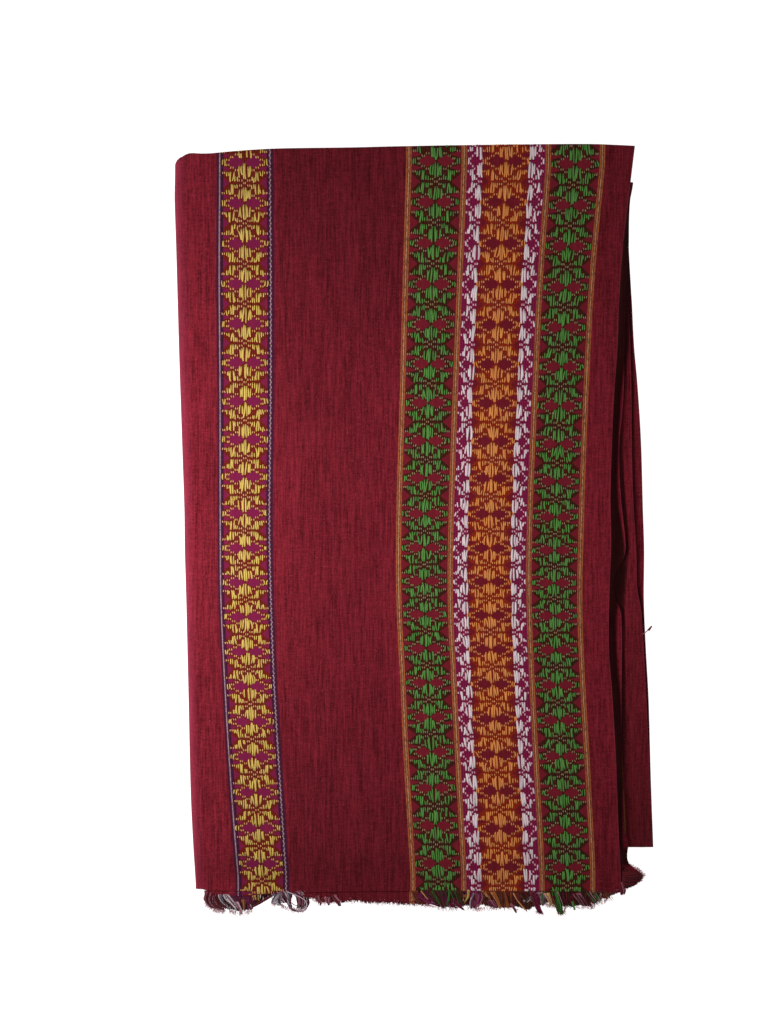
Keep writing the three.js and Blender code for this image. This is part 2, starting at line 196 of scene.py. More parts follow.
def relief(x, y):
    """Soft creases and swells that all the upper plies share"""
    fade = smoothstep(right_at(y) - x, -20, 30) * smoothstep(x - left_at(y), 0, 40)
    fade = fade * smoothstep(FOLDED_LENGTH / 2 - np.abs(y), 0, 50)
    swell = SWELL * np.sin(x / 31 + 0.6 * np.sin(y / 90)) * np.cos(y / 140 + 0.5)
    ripple = RIPPLE * np.sin(y / 17 + 1.3 * np.sin(x / 60)) * bump_at(x, RIPPLED_MIDDLE, RIPPLED_HALF)
    crease = sum(-depth * bump_at(y - slope * x, middle, half) for middle, slope, depth, half in CREASES)
    return fade * (swell + ripple + crease)


# Where the fanned plies fall away beside the top one: the far side of the hollow beside its
# selvedge, and of the next one beside the second ply
first_hollow_at = curve_through(
    (348, 221), (290, 219), (230, 217.2), (185, 212.5), (135, 206.5), (90, 203.5), (35, 203.0),
    (-15, 210), (-55, 210.5), (-80, 202.5), (-115, 201.5), (-165, 205.5), (-230, 208.5), (-316, 208.5),
    (-321, 216.0), (-331, 216.5), (-338, 209.5), (-346, 207.0), (-360, 207.0),
)
second_hollow_at = curve_through(
    (348, 220), (230, 216), (185, 214.5), (135, 210.0), (80, 208.6), (35, 211.2), (-15, 214.8),
    (-55, 212.0), (-80, 210.8), (-115, 210.4), (-165, 211.2), (-205, 212.2), (-270, 213.6),
    (-318, 214.6),
)


# How far the plies fall past the top one's edge, and in each hollow
EDGE_FALL = 3.2
FIRST_HOLLOW = 3.3
SECOND_HOLLOW = 1.6
THIRD_HOLLOW = 0.9
HOLLOW_FADE = (8, 40)
FALL_FADE = (26, 40)
DEEPEST = (-48, 26)


def window(value, start, end, rise, fall):
    """1 between a start and an end, with soft edges"""
    return smoothstep(value, start - rise, start + rise) * (1 - smoothstep(value, end - fall, end + fall))


def hollows(ply, x, y):
    """How far a fanned ply falls below its solid's face, and how much painted shade it gets in the hollows
    and under the plies above
    """
    if ply == "a":
        return 0 * x, 0 * x
    edge = right_at(y)
    reach = x - right_fold_at(y) + OVERHANG_START
    fade = smoothstep(FOLDED_LENGTH / 2 - np.abs(y), *HOLLOW_FADE) * (1 - slope_share(y))
    shaded = smoothstep(FOLDED_LENGTH / 2 - y, *HOLLOW_FADE)
    fall = EDGE_FALL * smoothstep(x - edge, -4, 4) * (1 - smoothstep(reach, *FALL_FADE))
    first = window(x, edge - 3.0, first_hollow_at(y), 2.5, 1.6)
    drop = fall + FIRST_HOLLOW * first
    # Painted shade in the hollow beside the top ply's selvedge
    dark = first
    if ply in ("c", "b"):
        start = np.minimum(second_at(y) - 1.5, second_hollow_at(y) - 2)
        second = window(x, start, second_hollow_at(y), 1.5, 1.2)
        deep = bump_at(y, *DEEPEST)
        # Painted shade in the hollow beside the second ply's edge, and under the plies above, darker
        # towards the lower end
        under = 0.18 + 0.1 * smoothstep(-y, 60, 200) + 0.14 * smoothstep(-y, 230, 310)
        drop = drop + SECOND_HOLLOW * second * (1 + 0.8 * deep)
        dark = np.maximum(dark, second * (1 + 0.16 * deep - 0.1 - 0.32 * smoothstep(-y, 190, 230)))
        dark = np.maximum(dark, under)
    if ply == "b":
        # Painted shadow beside the edge of the ply above
        third = window(x, third_at(y) - 1, third_at(y) + 2.2, 1.5, 1.0)
        drop = drop + THIRD_HOLLOW * third
        dark = np.maximum(dark, third)
    return fade * drop, shaded * dark


def ply_top(ply, x, y):
    """Height of the top face of one of the upper plies"""
    flat = LOWER_TOP + PLY_NUMBER[ply] * PITCH
    across = np.maximum(0, 1 - (x / (FOLDED_WIDTH / 2)) ** 2)
    along = np.maximum(0, 1 - (y / (FOLDED_LENGTH / 2)) ** 2)
    wave = np.sin(x / 52 + y / 210) * np.cos(y / 120 - x / 300)
    crown = across * along * (CROWN + WAVE * wave)
    over = OVERHANG_DROP * smoothstep(x - right_fold_at(y) + OVERHANG_START, 0, OVERHANG_LENGTH)
    held = 1 - STIFFNESS * slope_share(y)
    dropped = FULL_DROP * slope_share(y)
    fallen = hollows(ply, x, y)[0]
    height = flat - dropped + crown - OVERHANG_SHARE[ply] * over * held + relief(x, y) - fallen
    return np.maximum(height, LOWEST + LOWEST_STEP * (PLY_NUMBER[ply] - 1))


def from_photo(places):
    """Millimetres from the part's middle for places (u, v) in the picture"""
    places = np.array(places, float)
    return np.stack([places[..., 0] - PHOTO_MIDDLE[0], PHOTO_MIDDLE[1] - places[..., 1]], -1)


def photo_line(*places):
    """A line along the cloth from its places u at the rows v of the picture"""
    return curve_through(*[(PHOTO_MIDDLE[1] - v, u - PHOTO_MIDDLE[0]) for v, u in zip(LINE_ROWS, places)])


# Woven lines of the top ply. "across" is the distance from the left fold on the flat cloth.
LINE_ROWS = (165, 280, 400, 520, 600, 680, 760, 875)
PALE_LINES = (36.2, 85.0)
GOLD_LINES = (214.5, 266.6, 345.1, 396.7)
WOVEN_LINES = (
    (0.0, left_at),
    (PALE_LINES[0], photo_line(220.1, 219.6, 220.4, 220.5, 221.2, 224.9, 229.6, 238.2)),
    (PALE_LINES[1], photo_line(269.8, 270.7, 270.6, 269.3, 270.9, 273.9, 278.6, 285.8)),
    (GOLD_LINES[0], photo_line(408.9, 405.4, 402.2, 398.8, 398.9, 402.7, 406.3, 413.0)),
    (GOLD_LINES[1], photo_line(464.1, 459.6, 454.8, 450.9, 450.1, 453.6, 457.6, 463.8)),
    (GOLD_LINES[2], photo_line(548.2, 540.0, 534.4, 529.4, 528.8, 531.7, 535.8, 542.2)),
    (GOLD_LINES[3], photo_line(602.0, 591.6, 585.3, 581.0, 579.4, 582.2, 586.8, 593.0)),
    (426.1, right_at),
)
SELVEDGE = WOVEN_LINES[-1][0]


def across_at(x, y):
    """Distance across the flat cloth of a point of the top ply"""
    value = np.zeros(np.broadcast(x, y).shape) + np.minimum(x - WOVEN_LINES[0][1](y), 0)
    for (start, start_line), (end, end_line) in zip(WOVEN_LINES, WOVEN_LINES[1:]):
        low = start_line(y)
        share = (x - low) / (end_line(y) - low)
        value = value + (end - start) * np.clip(share, 0, 1)
    return value + np.maximum(x - WOVEN_LINES[-1][1](y), 0)


def x_of(across, y):
    """Where a place across the flat cloth lies on the top ply"""
    x = WOVEN_LINES[0][1](y)
    for (start, start_line), (end, end_line) in zip(WOVEN_LINES, WOVEN_LINES[1:]):
        share = np.clip((across - start) / (end - start), 0, 1)
        x = x + (end_line(y) - start_line(y)) * share
    return x


# Figured bands: their middle and half width on the flat cloth, where a band's part of the cloth
# starts, and the y of each of the numbered motifs
MOTIF_NUMBERS = (-1, 0, 4, 8, 12, 16, 19, 20)
BANDS = {
    "yellow": {
        "middle": 60.5, "half": 23.2, "starts": 0,
        "rows": (388, 346.5, 186.5, 35, -104, -244, -351.5, -388),
    },
    "green_left": {
        "middle": 240.4, "half": 23.0, "starts": 150,
        "rows": (389, 348, 185.5, 34, -101, -239, -352, -390),
    },
    "orange": {
        "middle": 305.7, "half": 22.0, "starts": GOLD_LINES[1],
        "rows": (389, 348, 185, 33.5, -102, -242, -356, -394),
    },
    "green_right": {
        "middle": 370.8, "half": 23.0, "starts": GOLD_LINES[2],
        "rows": (386, 344.5, 182.5, 30.5, -102.5, -244, -356, -394),
    },
}
SIDE_BANDS = (276.4, 335.3)
SIDE_HALF = 7.4
COLUMN_PITCH = 2.06
SIDE_PITCH = 2.08
SIDE_START = 22.6
ROWS_PER_MOTIF = 16
BAND_REACH = (-400, 392)

band_curves = {
    name: curve_through(*zip(band["rows"], MOTIF_NUMBERS)) for name, band in BANDS.items()
}


def motif_at(across, along):
    """Count of motifs down the cloth, from the bands on both sides of a place"""
    names = list(BANDS)
    value = band_curves[names[0]](along)
    for name, after in zip(names, names[1:]):
        low = BANDS[name]["middle"]
        share = np.clip((across - low) / (BANDS[after]["middle"] - low), 0, 1)
        value = value + (band_curves[after](along) - band_curves[name](along)) * share
    return value


def along_of(band, motif):
    """Place along the cloth of a count of motifs in a band"""
    samples = np.linspace(*BAND_REACH, 1600)
    return np.interp(-motif, -band_curves[band](samples), samples)


# Meshes
def object_of(name, points, faces, material, fields=None, smooth_angle=50):
    mesh = bpy.data.meshes.new(name)
    mesh.from_pydata((np.asarray(points) * MM).tolist(), [], faces)
    for field, values in (fields or {}).items():
        kind = "FLOAT_COLOR" if np.ndim(values) == 2 else "FLOAT"
        slot = "color" if kind == "FLOAT_COLOR" else "value"
        data = mesh.attributes.new(field, kind, "POINT").data
        data.foreach_set(slot, np.ascontiguousarray(values, dtype=np.float32).ravel())
    mesh.shade_smooth()
    mesh.set_sharp_from_angle(angle=math.radians(smooth_angle))
    mesh.materials.append(material)
    obj = bpy.data.objects.new(name, mesh)
    bpy.context.scene.collection.objects.link(obj)
    return obj


def outward(points, faces):
    """Quads turned so that their closed mesh faces outwards"""
    a, b, c, d = (points[faces[:, k]] for k in range(4))
    volume = np.einsum("ij,ij->", a, np.cross(b, c)) + np.einsum("ij,ij->", a, np.cross(c, d))
    return faces if volume > 0 else faces[:, ::-1]


def shell(name, outer, inner, material, fields, rim=()):
    """Closed thin sheet between two grids of points"""
    rows, columns = outer.shape[:2]
    count = rows * columns
    index = np.arange(count).reshape(rows, columns)
    quads = [index[:-1, :-1], index[1:, :-1], index[1:, 1:], index[:-1, 1:]]
    top = np.stack(quads, -1).reshape(-1, 4)
    edge = edge_of(index)
    rings = [edge]
    points = [outer.reshape(-1, 3), inner.reshape(-1, 3)]
    flat_fields = {key: [value.ravel(), value.ravel()] for key, value in fields.items()}
    start = 2 * count
    for ring in rim:
        points.append(ring)
        rings.append(np.arange(start, start + len(edge)))
        start += len(edge)
        for key, value in fields.items():
            flat_fields[key].append(value.ravel()[edge])
    rings.append(edge + count)
    walls = [
        np.stack([a, np.roll(a, -1), np.roll(b, -1), b], -1) for a, b in zip(rings, rings[1:])
    ]
    points = np.concatenate(points)
    faces = np.concatenate([top, top[:, ::-1] + count, *walls])
    faces = outward(points, faces)
    flat_fields = {key: np.concatenate(value) for key, value in flat_fields.items()}
    return object_of(name, points, faces.tolist(), material, flat_fields)


def sheet_of(name, place, material, keys):
    """Thin cloth from a function that gives its points, at a depth, and its fields"""
    outer, fields = place(0)
    inner, _ = place(CLOTH_THICKNESS)
    return shell(name, outer, inner, material, {key: fields[..., k] for k, key in enumerate(keys)})


def edge_of(grid):
    """Points round the edge of a grid"""
    return np.concatenate([grid[0, :-1], grid[:-1, -1], grid[-1, :0:-1], grid[:0:-1, 0]])


def spaced(start, end, step):
    return np.linspace(start, end, max(2, round(abs(end - start) / step) + 1))


def rows_between(low, high, near, step, count_low=4, count_high=16):
    """Rows along the cloth: from a curved low edge, straight ones, to a curved fold line"""
    rows = []
    for t in np.linspace(0, 1, count_low, endpoint=False):
        rows.append({"y": lambda x, t=t: lerp(low(x), LAST_SLOPE_Y, t), "turned": 0, "tail": 0})
    for y in spaced(LAST_SLOPE_Y, near - CURVED_ROWS, step):
        rows.append({"y": lambda x, y=y: y + 0 * x, "turned": 0, "tail": 0})
    for t in np.linspace(0, 1, count_high + 1)[1:]:
        rows.append({"y": lambda x, t=t: lerp(near - CURVED_ROWS, high(x), t), "turned": 0, "tail": 0})
    return rows


def turn_rows(line, turns, tails):
    rows = [{"y": line, "turned": t, "tail": 0} for t in np.linspace(0, 1, turns + 1)[1:]]
    rows += [{"y": line, "turned": 1, "tail": t} for t in np.linspace(0, 1, tails + 1)[1:]]
    return rows


def fold_offset(row, radius, turn, tail, inside):
    """How far a row lies past the start of its fold, how deep, and its length of cloth"""
    angle = turn * row["turned"]
    past = (radius - inside) * np.sin(angle) - tail * row["tail"]
    depth = radius - (radius - inside) * np.cos(angle)
    return past, depth, radius * angle + tail * row["tail"]


def upper_cloth(material):
    """The top ply, over the left fold to the underside and over the top fold"""
    flat_part = spaced(0, 1, GRID / UPPER_WIDTH)
    turns = np.linspace(0, math.pi, 13)[1:]
    laps = np.linspace(0, LEFT_LAP, 8)[1:]
    share = np.concatenate([flat_part, np.ones(len(turns) + len(laps))])
    angle = np.concatenate([0 * flat_part, turns, np.full(len(laps), math.pi)])
    lap = np.concatenate([0 * flat_part, 0 * turns, laps])
    turned_in = smoothstep(angle, 0, math.pi / 3)
    radius, turn, tail = (lerp(TOP_FOLD[k], LOW_FOLD[k], turned_in) for k in range(3))
    corner = 7.5 * smoothstep(angle, 0, math.pi * 0.6)

    def fold_line(x):
        return top_at(x) - radius - corner

    def start_at(y):
        return left_at(y) + np.minimum(LEFT_DEPTH, ply_top("a", left_at(y), y) / 2)

    rows = rows_between(bottom_at, fold_line, 370, GRID)
    rows += turn_rows(fold_line, 7, 4)

    def place(inside):
        grid = []
        fields = []
        for row in rows:
            x = lerp(right_at(0), start_at(0), share)
            y = row["y"](x)
            for _ in range(2):
                x = lerp(right_at(y), start_at(y), share)
                y = row["y"](x)
            past, depth, used = fold_offset(row, radius, turn, tail, inside)
            folded_y = y + past
            x = x - 1.5 * row["tail"] * (1 - share) - (right_at(y) - right_at(folded_y)) * (1 - share)
            start = start_at(y)
            height = ply_top("a", left_at(y), y)
            radius_x = start - left_at(y) - depth
            radius_z = height / 2 - depth
            around = angle > 0
            z = np.where(around, height / 2 + radius_z * np.cos(angle), ply_top("a", x, y) - depth)
            out_x = np.where(around, start - radius_x * np.sin(angle) + lap, x)
            grid.append(np.stack([out_x, folded_y, z], -1))
            across = across_at(x, y) - height / 2 * angle - lap
            fields.append(np.stack([across, motif_at(across, y + used)], -1))
        return np.array(grid), np.array(fields)

    return sheet_of("upper_cloth", place, material, ("across", "motif"))


def ply_shares():
    """Columns of a hidden ply, close together where it shows past the fold line"""
    return np.linspace(0, 1, 25)[:-1], spaced(0, 1, HIDDEN_GRID / PLY_WIDTH)


def second_cloth(material):
    """The ply below the top one, with the frayed end and corner"""
    over, main = ply_shares()

    def column_x(y):
        fold_line = right_fold_at(y) - OVERHANG_START
        edge = second_at(y) + corner_reach_at(y)
        inside = left_at(y) + INSIDE_LEFT
        return np.concatenate([lerp(edge, fold_line, over), lerp(fold_line, inside, main)])

    radius, turn, tail = SECOND_FOLD

    def fold_line(x):
        return SECOND_FOLD_Y - radius + 0 * x

    rows = rows_between(second_end_at, fold_line, SECOND_FOLD_Y, PLY_GRID, 4, 10)
    rows += turn_rows(fold_line, 5, 3)

    def place(inside):
        grid = []
        fields = []
        for row in rows:
            y = row["y"](column_x(-350.0))
            x = np.array([column_x(value)[k] for k, value in enumerate(y)])
            past, depth, used = fold_offset(row, radius, turn, tail, inside)
            x = x - np.maximum(0, second_at(y) - second_at(y + past)) - 1.5 * row["tail"]
            z = ply_top("d", x, y) - depth
            grid.append(np.stack([x, y + past, z], -1))
            across = SELVEDGE - (second_at(y) - x)
            # The dark field is painted shade in the hollow beside the top ply's selvedge
            dark = hollows("d", x, y)[1]
            fields.append(np.stack([across, motif_at(across, y + used), dark], -1))
        return np.array(grid), np.array(fields)

    return sheet_of("second_cloth", place, material, ("across", "motif", "dark"))


def inner_cloth(material):
    """The two plies of the fan, joined by the short fold"""
    over, main = ply_shares()
    radius = SECOND_FOLD[0]
    top_end = SECOND_FOLD_Y - radius - SECOND_FOLD[2] - GAP
    straight = spaced(top_end, SHORT_FOLD_Y + radius, PLY_GRID)
    turns = np.linspace(0, math.pi, 9)[1:-1]
    rows = [(y, 0.0) for y in straight]
    rows += [(SHORT_FOLD_Y + radius, turn) for turn in turns]
    rows += [(y, math.pi) for y in straight[::-1]]

    def place(inside):
        grid = []
        fields = []
        for base_y, turn in rows:
            y = base_y - (radius - inside) * math.sin(turn)
            share = (1 - math.cos(turn)) / 2
            edge = lerp(third_at(y), fourth_at(y), share)
            fold_line = right_fold_at(y) - OVERHANG_START
            left = left_at(y) + INSIDE_LEFT
            x = np.concatenate([lerp(edge, fold_line, over), lerp(fold_line, left, main)])
            above = ply_top("c", x, y) - inside
            below = ply_top("b", x, y) - WALL + inside
            grid.append(np.stack([x, y + 0 * x, lerp(above, below, share)], -1))
            across = SELVEDGE - (edge - x)
            # The dark field is painted shade in the hollows and under the plies above
            dark = hollows("b" if share > 0.5 else "c", x, y)[1]
            fields.append(np.stack([across, motif_at(across, y + 0 * x), dark], -1))
        return np.array(grid), np.array(fields)

    return sheet_of("inner_cloth", place, material, ("across", "motif", "dark"))


def under_cloth(material):
    """The ply that all the others lie on, with its fold on the right"""
    flat_part = spaced(0, 1, HIDDEN_GRID / UNDER_WIDTH)
    turns = np.linspace(0, RIGHT_TURN, 11)[1:]
    share = np.concatenate([flat_part, np.ones(len(turns))])
    angle = np.concatenate([0 * flat_part, turns])
    radius, turn, tail = LOW_FOLD

    def column_x(y):
        start = left_at(y) + LEFT_DEPTH + LEFT_LAP + GAP
        return lerp(start, right_fold_at(y) - lower_top(y) / 2, share)

    def fold_line(x):
        return top_at(x) - LOWER_SET_BACK - radius

    rows = rows_between(lambda x: bottom_at(x) + LOWER_SET_BACK, fold_line, 366, HIDDEN_GRID, 3, 8)
    rows += turn_rows(fold_line, 6, 1)

    def place(inside):
        grid = []
        fields = []
        for row in rows:
            y = row["y"](column_x(0.0))
            x = column_x(y)
            y = row["y"](x)
            past, depth, used = fold_offset(row, radius, turn, tail, inside)
            half = lower_top(y) / 2
            reach = half - np.minimum(depth, half - GAP)
            out_x = x + reach * np.sin(angle)
            grid.append(np.stack([out_x, y + past, half - reach * np.cos(angle)], -1))
            across = -60 - (x - left_at(y)) - half * angle
            fields.append(np.stack([across, motif_at(across, y + used)], -1))
        return np.array(grid), np.array(fields)

    return sheet_of("under_cloth", place, material, ("across", "motif"))


def core_cloth(material):
    """The hidden layers: one rounded solid whose edges show the separate layers"""
    base = WALL + GAP
    layers = 6
    levels = layers * 6
    lobe_start = 0.29

    def column_x(y):
        left = left_at(y) + LEFT_DEPTH + GAP
        return lerp(left, right_fold_at(y) - lower_top(y) / 2, spaced(0, 1, HIDDEN_GRID / CORE_WIDTH))

    def fold_line(x):
        return top_at(x) - LOWER_SET_BACK - LOW_FOLD[0] - 2 * GAP

    rows = rows_between(lambda x: bottom_at(x) + LOWER_SET_BACK + 1, fold_line, 366, HIDDEN_GRID, 3, 8)

    def place(share):
        grid = []
        for row in rows:
            y = row["y"](column_x(0.0))
            x = column_x(y)
            y = row["y"](x)
            grid.append(np.stack([x, y, lerp(base + 0 * x, lower_top(y), share)], -1))
        return np.array(grid)

    outer = place(1)
    inner = place(0)
    across = -60 - (outer[..., 0] - left_at(outer[..., 1]))
    fields = {"across": across, "motif": motif_at(across, outer[..., 1])}
    row_count, column_count = outer.shape[:2]
    edge_rows = edge_of(np.repeat(np.arange(row_count)[:, None], column_count, 1))
    edge_columns = edge_of(np.repeat(np.arange(column_count)[None], row_count, 0))

    def bulge(share):
        return math.sqrt(max(0.0, 1 - (2 * share - 1) ** 2))

    rim = []
    for share in np.linspace(1, 0, levels + 1)[1:-1]:
        points = edge_of(place(share)).copy()
        half = (lower_top(points[:, 1]) - base) / 2
        layer = 0.5 * abs(math.sin(math.pi * share * layers)) - 0.35
        lobe = bulge((share - lobe_start) / (1 - lobe_start)) if share > lobe_start else 0.0
        points[:, 0] -= (edge_columns == 0) * 0.8 * half * bulge(share)
        points[:, 0] += (edge_columns == column_count - 1) * 0.5 * half * bulge(share)
        wander = 0.35 * np.sin(points[:, 0] / 23 + share * 40)
        points[:, 1] -= (edge_rows == 0) * (0.6 * bulge(share) + layer + wander * 0.4)
        top = (edge_rows == row_count - 1) & (edge_columns < column_count - 1)
        points[:, 1] += top * (2.8 + layer + wander) * lobe
        rim.append(points)
    return shell("core_cloth", outer, inner, material, fields, rim)


# Floats of the figured bands: for each column from the middle outwards, the rows that a
# float covers. Row 8 is the middle of a motif, row 0 halfway to the next one.
MOTIF_COLUMNS = (
    (0, ((1, 6), (8, 8))),
    (1, ((2, 5), (7, 7))),
    (2, ((2, 5), (7, 7))),
    (3, ((3, 3), (6, 7))),
    (4, ((3, 3), (6, 7))),
    (5, ((2, 2), (4, 7))),
    (6, ((2, 2), (4, 7))),
    (7, ((1, 1), (4, 5))),
    (8, ((1, 1), (4, 5))),
    (9, ((0, 0), (4, 4))),
    (10, ((0, 0), (4, 4))),
)
SIDE_COLUMNS = (
    (0, ((1, 6), (8, 8))),
    (1, ((1, 6), (8, 8))),
    (2, ((2, 5), (7, 7))),
    (3, ((3, 3), (6, 7))),
    (4, ((2, 2), (4, 7))),
    (5, ((1, 1), (4, 5))),
    (6, ((0, 0), (4, 4))),
)


MIDDLE_ROW = 8
ROW_HALF = 0.45
EDGE_HALF = 0.07
MOTIFS = range(-1, 20)
FLOAT_WIDTH = 1.45
WHITE_WIDTH = 1.75
FLOAT_HEIGHT = 0.5
EDGE_MARGIN = 0.7
SHORTEST = 0.9


def on_top(x, along):
    """Place and upward direction on the top ply, also where it turns over the top fold"""
    radius = TOP_FOLD[0]
    line = top_at(x) - radius
    angle = np.clip((along - line) / radius, 0, math.pi)
    y = np.minimum(along, line)
    z = ply_top("a", x, y)
    place = np.stack([x, y + radius * np.sin(angle), z - radius * (1 - np.cos(angle))], -1)
    return place, np.stack([0 * x, np.sin(angle), np.cos(angle)], -1)


def runs_of(columns, start, pitch, band):
    """Every float of a band as (band, across, motif at one end, at the other)"""
    runs = []
    for motif in MOTIFS:
        for column, rows in columns:
            across = start + pitch * column
            for first, last in rows:
                near_end = (MIDDLE_ROW - (first - ROW_HALF)) / ROWS_PER_MOTIF
                far_end = (MIDDLE_ROW - (last + ROW_HALF)) / ROWS_PER_MOTIF
                if first == 0:
                    runs.append((band, across, motif + 0.5 - EDGE_HALF, motif + 0.5 + EDGE_HALF))
                elif last == MIDDLE_ROW:
                    runs.append((band, across, motif - near_end, motif + near_end))
                else:
                    runs.append((band, across, motif - near_end, motif - far_end))
                    runs.append((band, across, motif + far_end, motif + near_end))
    return runs


def band_runs(band):
    """Both halves of a band, mirrored about its middle"""
    middle = BANDS[band]["middle"]
    half = COLUMN_PITCH / 2
    return (runs_of(MOTIF_COLUMNS, middle + half, COLUMN_PITCH, band)
            + runs_of(MOTIF_COLUMNS, middle - half, -COLUMN_PITCH, band))


def tube_faces(rings, sides):
    """Walls and both ends of a closed tube whose points go round ring by ring"""
    index = np.arange(rings * sides).reshape(rings, sides)
    after = np.roll(index, -1, axis=1)
    walls = np.stack([index[:-1], index[1:], after[1:], after[:-1]], -1).reshape(-1, 4)
    return walls, np.array([index[0], index[-1, ::-1]])


# A float's rings along its length, with their sizes, and its section, with the painted shade at its sides
RING_AT = np.array([0.0, 0.28, 0.72, 1.0])
RING_SIZE = np.array([0.45, 1.0, 1.0, 0.45])
SECTION = np.array([[-0.5, -0.25], [-0.4, 0.7], [0.0, 1.0], [0.4, 0.7], [0.5, -0.25]])
SECTION_SIDE_SHADE = np.array([1.0, 0.6, 0.0, 0.6, 1.0])


def floats(name, runs, material, width=FLOAT_WIDTH, height=FLOAT_HEIGHT):
    """Raised threads that float over the ground, one small closed mesh each"""
    bands = np.array([run[0] for run in runs])
    across = np.array([run[1] for run in runs])
    ends = np.array([run[2:] for run in runs])
    count = len(runs)
    length = np.abs(ends[:, 1] - ends[:, 0]) * ROWS_PER_MOTIF
    ends = ends + random.normal(0, 0.012, ends.shape) * (length > 1.5)[:, None]
    along = np.empty_like(ends)
    for band in BANDS:
        chosen = bands == band
        along[chosen] = along_of(band, ends[chosen])
    lowest = bottom_at(x_of(across, -360.0)) + EDGE_MARGIN
    along = np.maximum(along, lowest[:, None])
    lean = random.normal(0, 1, (count, 2)) * (0.12 + 0.12 * np.minimum(length, 4))[:, None]
    bow = random.normal(0, 0.45, count) * (length > 2)
    wide = width * random.uniform(0.85, 1.15, count) * np.clip(0.72 + 0.14 * length, 0.8, 1.28)
    high = height * random.uniform(0.8, 1.15, count) * np.clip(0.75 + 0.08 * length, 0.8, 1.2)
    points = np.empty((count, len(RING_AT), len(SECTION), 3))
    for k, at in enumerate(RING_AT):
        place_along = lerp(along[:, 0], along[:, 1], at)
        x = x_of(across, np.minimum(place_along, 380)) + lerp(lean[:, 0], lean[:, 1], at)
        x = x + bow * math.sin(math.pi * at)
        place, up = on_top(x, place_along)
        for m, (aside, rise) in enumerate(SECTION):
            points[:, k, m] = place + up * (rise * high * RING_SIZE[k])[:, None]
            points[:, k, m, 0] += aside * wide * (0.6 + 0.4 * RING_SIZE[k])
    middle = along.mean(1)
    kept = (np.ptp(along, axis=1) > SHORTEST) & (along.max(1) < top_at(x_of(across, middle)) + 3)
    points = points[kept]
    length = length[kept]
    count = len(points)
    rings, sides = len(RING_AT), len(SECTION)
    walls, caps = tube_faces(rings, sides)
    shift = (np.arange(count) * rings * sides)[:, None, None]
    quads = (walls + shift).reshape(-1, 4)
    caps = (caps + shift).reshape(-1, sides)
    flat = points.reshape(-1, 3)
    a, b, c, d = (flat[quads[:, k]] for k in range(4))
    centre = points.reshape(count, -1, 3).mean(1)
    each = np.repeat(centre, len(walls), 0)
    facing = np.einsum("ij,ij->i", np.cross(b - a, d - a), (a + b + c + d) / 4 - each)
    if facing.sum() < 0:
        quads = quads[:, ::-1]
        caps = caps[:, ::-1]
    tone = np.repeat(random.uniform(0, 1, count), rings * sides)
    short = np.repeat(np.clip((1.9 - length) / 0.8, 0, 1), rings * sides)
    # Painted shade at each thread's sides
    edge = np.tile(SECTION_SIDE_SHADE, count * rings)
    fields = {"tone": tone, "short": short, "edge": edge}
    return object_of(name, flat, quads.tolist() + caps.tolist(), material, fields, 180)


# Colours, as they look in plain light
def colour(red, green, blue):
    """Linear colour from screen values"""
    def linear(value):
        value = value / 255
        return value / 12.92 if value <= 0.04045 else ((value + 0.055) / 1.055) ** 2.4
    return (linear(red), linear(green), linear(blue), 1.0)


PLAIN_LIGHT = colour(158, 41, 57)
PLAIN_DARK = colour(88, 12, 23)
PLAIN_SPECK = colour(190, 80, 110)
# Painted highlight: pinker towards and round the left fold
LEFT_FOLD_HIGHLIGHT = colour(176, 60, 90)
# Painted shade on the plain cloth towards both ends and in the middle of the body, and painted light on
# the right margin
ENDS_SHADE = (0.68, 0.66, 0.66, 1.0)
BODY_SHADE = (0.88, 0.86, 0.86, 1.0)
MARGIN_PAINTED_LIGHT = (1.12, 1.1, 1.1, 1.0)
SELVEDGE_PINK = colour(160, 66, 96)
# Painted shade in the hollows between the fanned plies and under the upper plies
PAINTED_HOLLOW_SHADE = colour(40, 13, 9)
NAVY = colour(72, 26, 58)
NAVY_DARK = colour(40, 16, 30)
LINE_PINK = colour(206, 166, 176)
LINE_GREY = colour(130, 128, 150)
LINE_OLIVE = colour(132, 100, 80)
MAGENTA = colour(148, 28, 76)
MAGENTA_DARK = colour(78, 14, 40)
GOLD = colour(190, 102, 58)
GOLD_PALE = colour(206, 164, 124)
GOLD_DARK = colour(98, 34, 20)
YARN_SHADE = (0.02, 0.006, 0.01, 1)

# Each band's ground: bare, between the floats, and there in the dark
GREEN_GROUND = (colour(120, 26, 40), colour(84, 34, 22), colour(28, 14, 6))
GROUNDS = {
    "yellow": (colour(124, 25, 68), colour(128, 38, 22), colour(72, 14, 10)),
    "green_left": GREEN_GROUND,
    "green_right": GREEN_GROUND,
    "orange": (colour(114, 22, 36), colour(164, 48, 24), colour(88, 18, 8)),
}
# Float colours: core, painted shade at the thread's sides (edge), single dots (short), and a darker tone
# by thread and streak (shade)
FLOAT_COLOURS = {
    "yellow": {"core": colour(236, 206, 108), "edge": colour(146, 90, 34),
               "short": colour(244, 184, 124), "shade": colour(136, 80, 28)},
    "green": {"core": colour(106, 168, 80), "edge": colour(24, 64, 18),
              "short": colour(184, 154, 112), "shade": colour(24, 52, 16)},
    "orange": {"core": colour(255, 168, 92), "edge": colour(178, 82, 30),
               "short": colour(250, 172, 112), "shade": colour(154, 66, 26)},
    "white": {"core": colour(255, 244, 246), "edge": colour(220, 164, 176),
              "short": colour(244, 196, 206), "shade": colour(150, 88, 114)},
}
FLOOR = (0.6, 0.6, 0.6, 1.0)


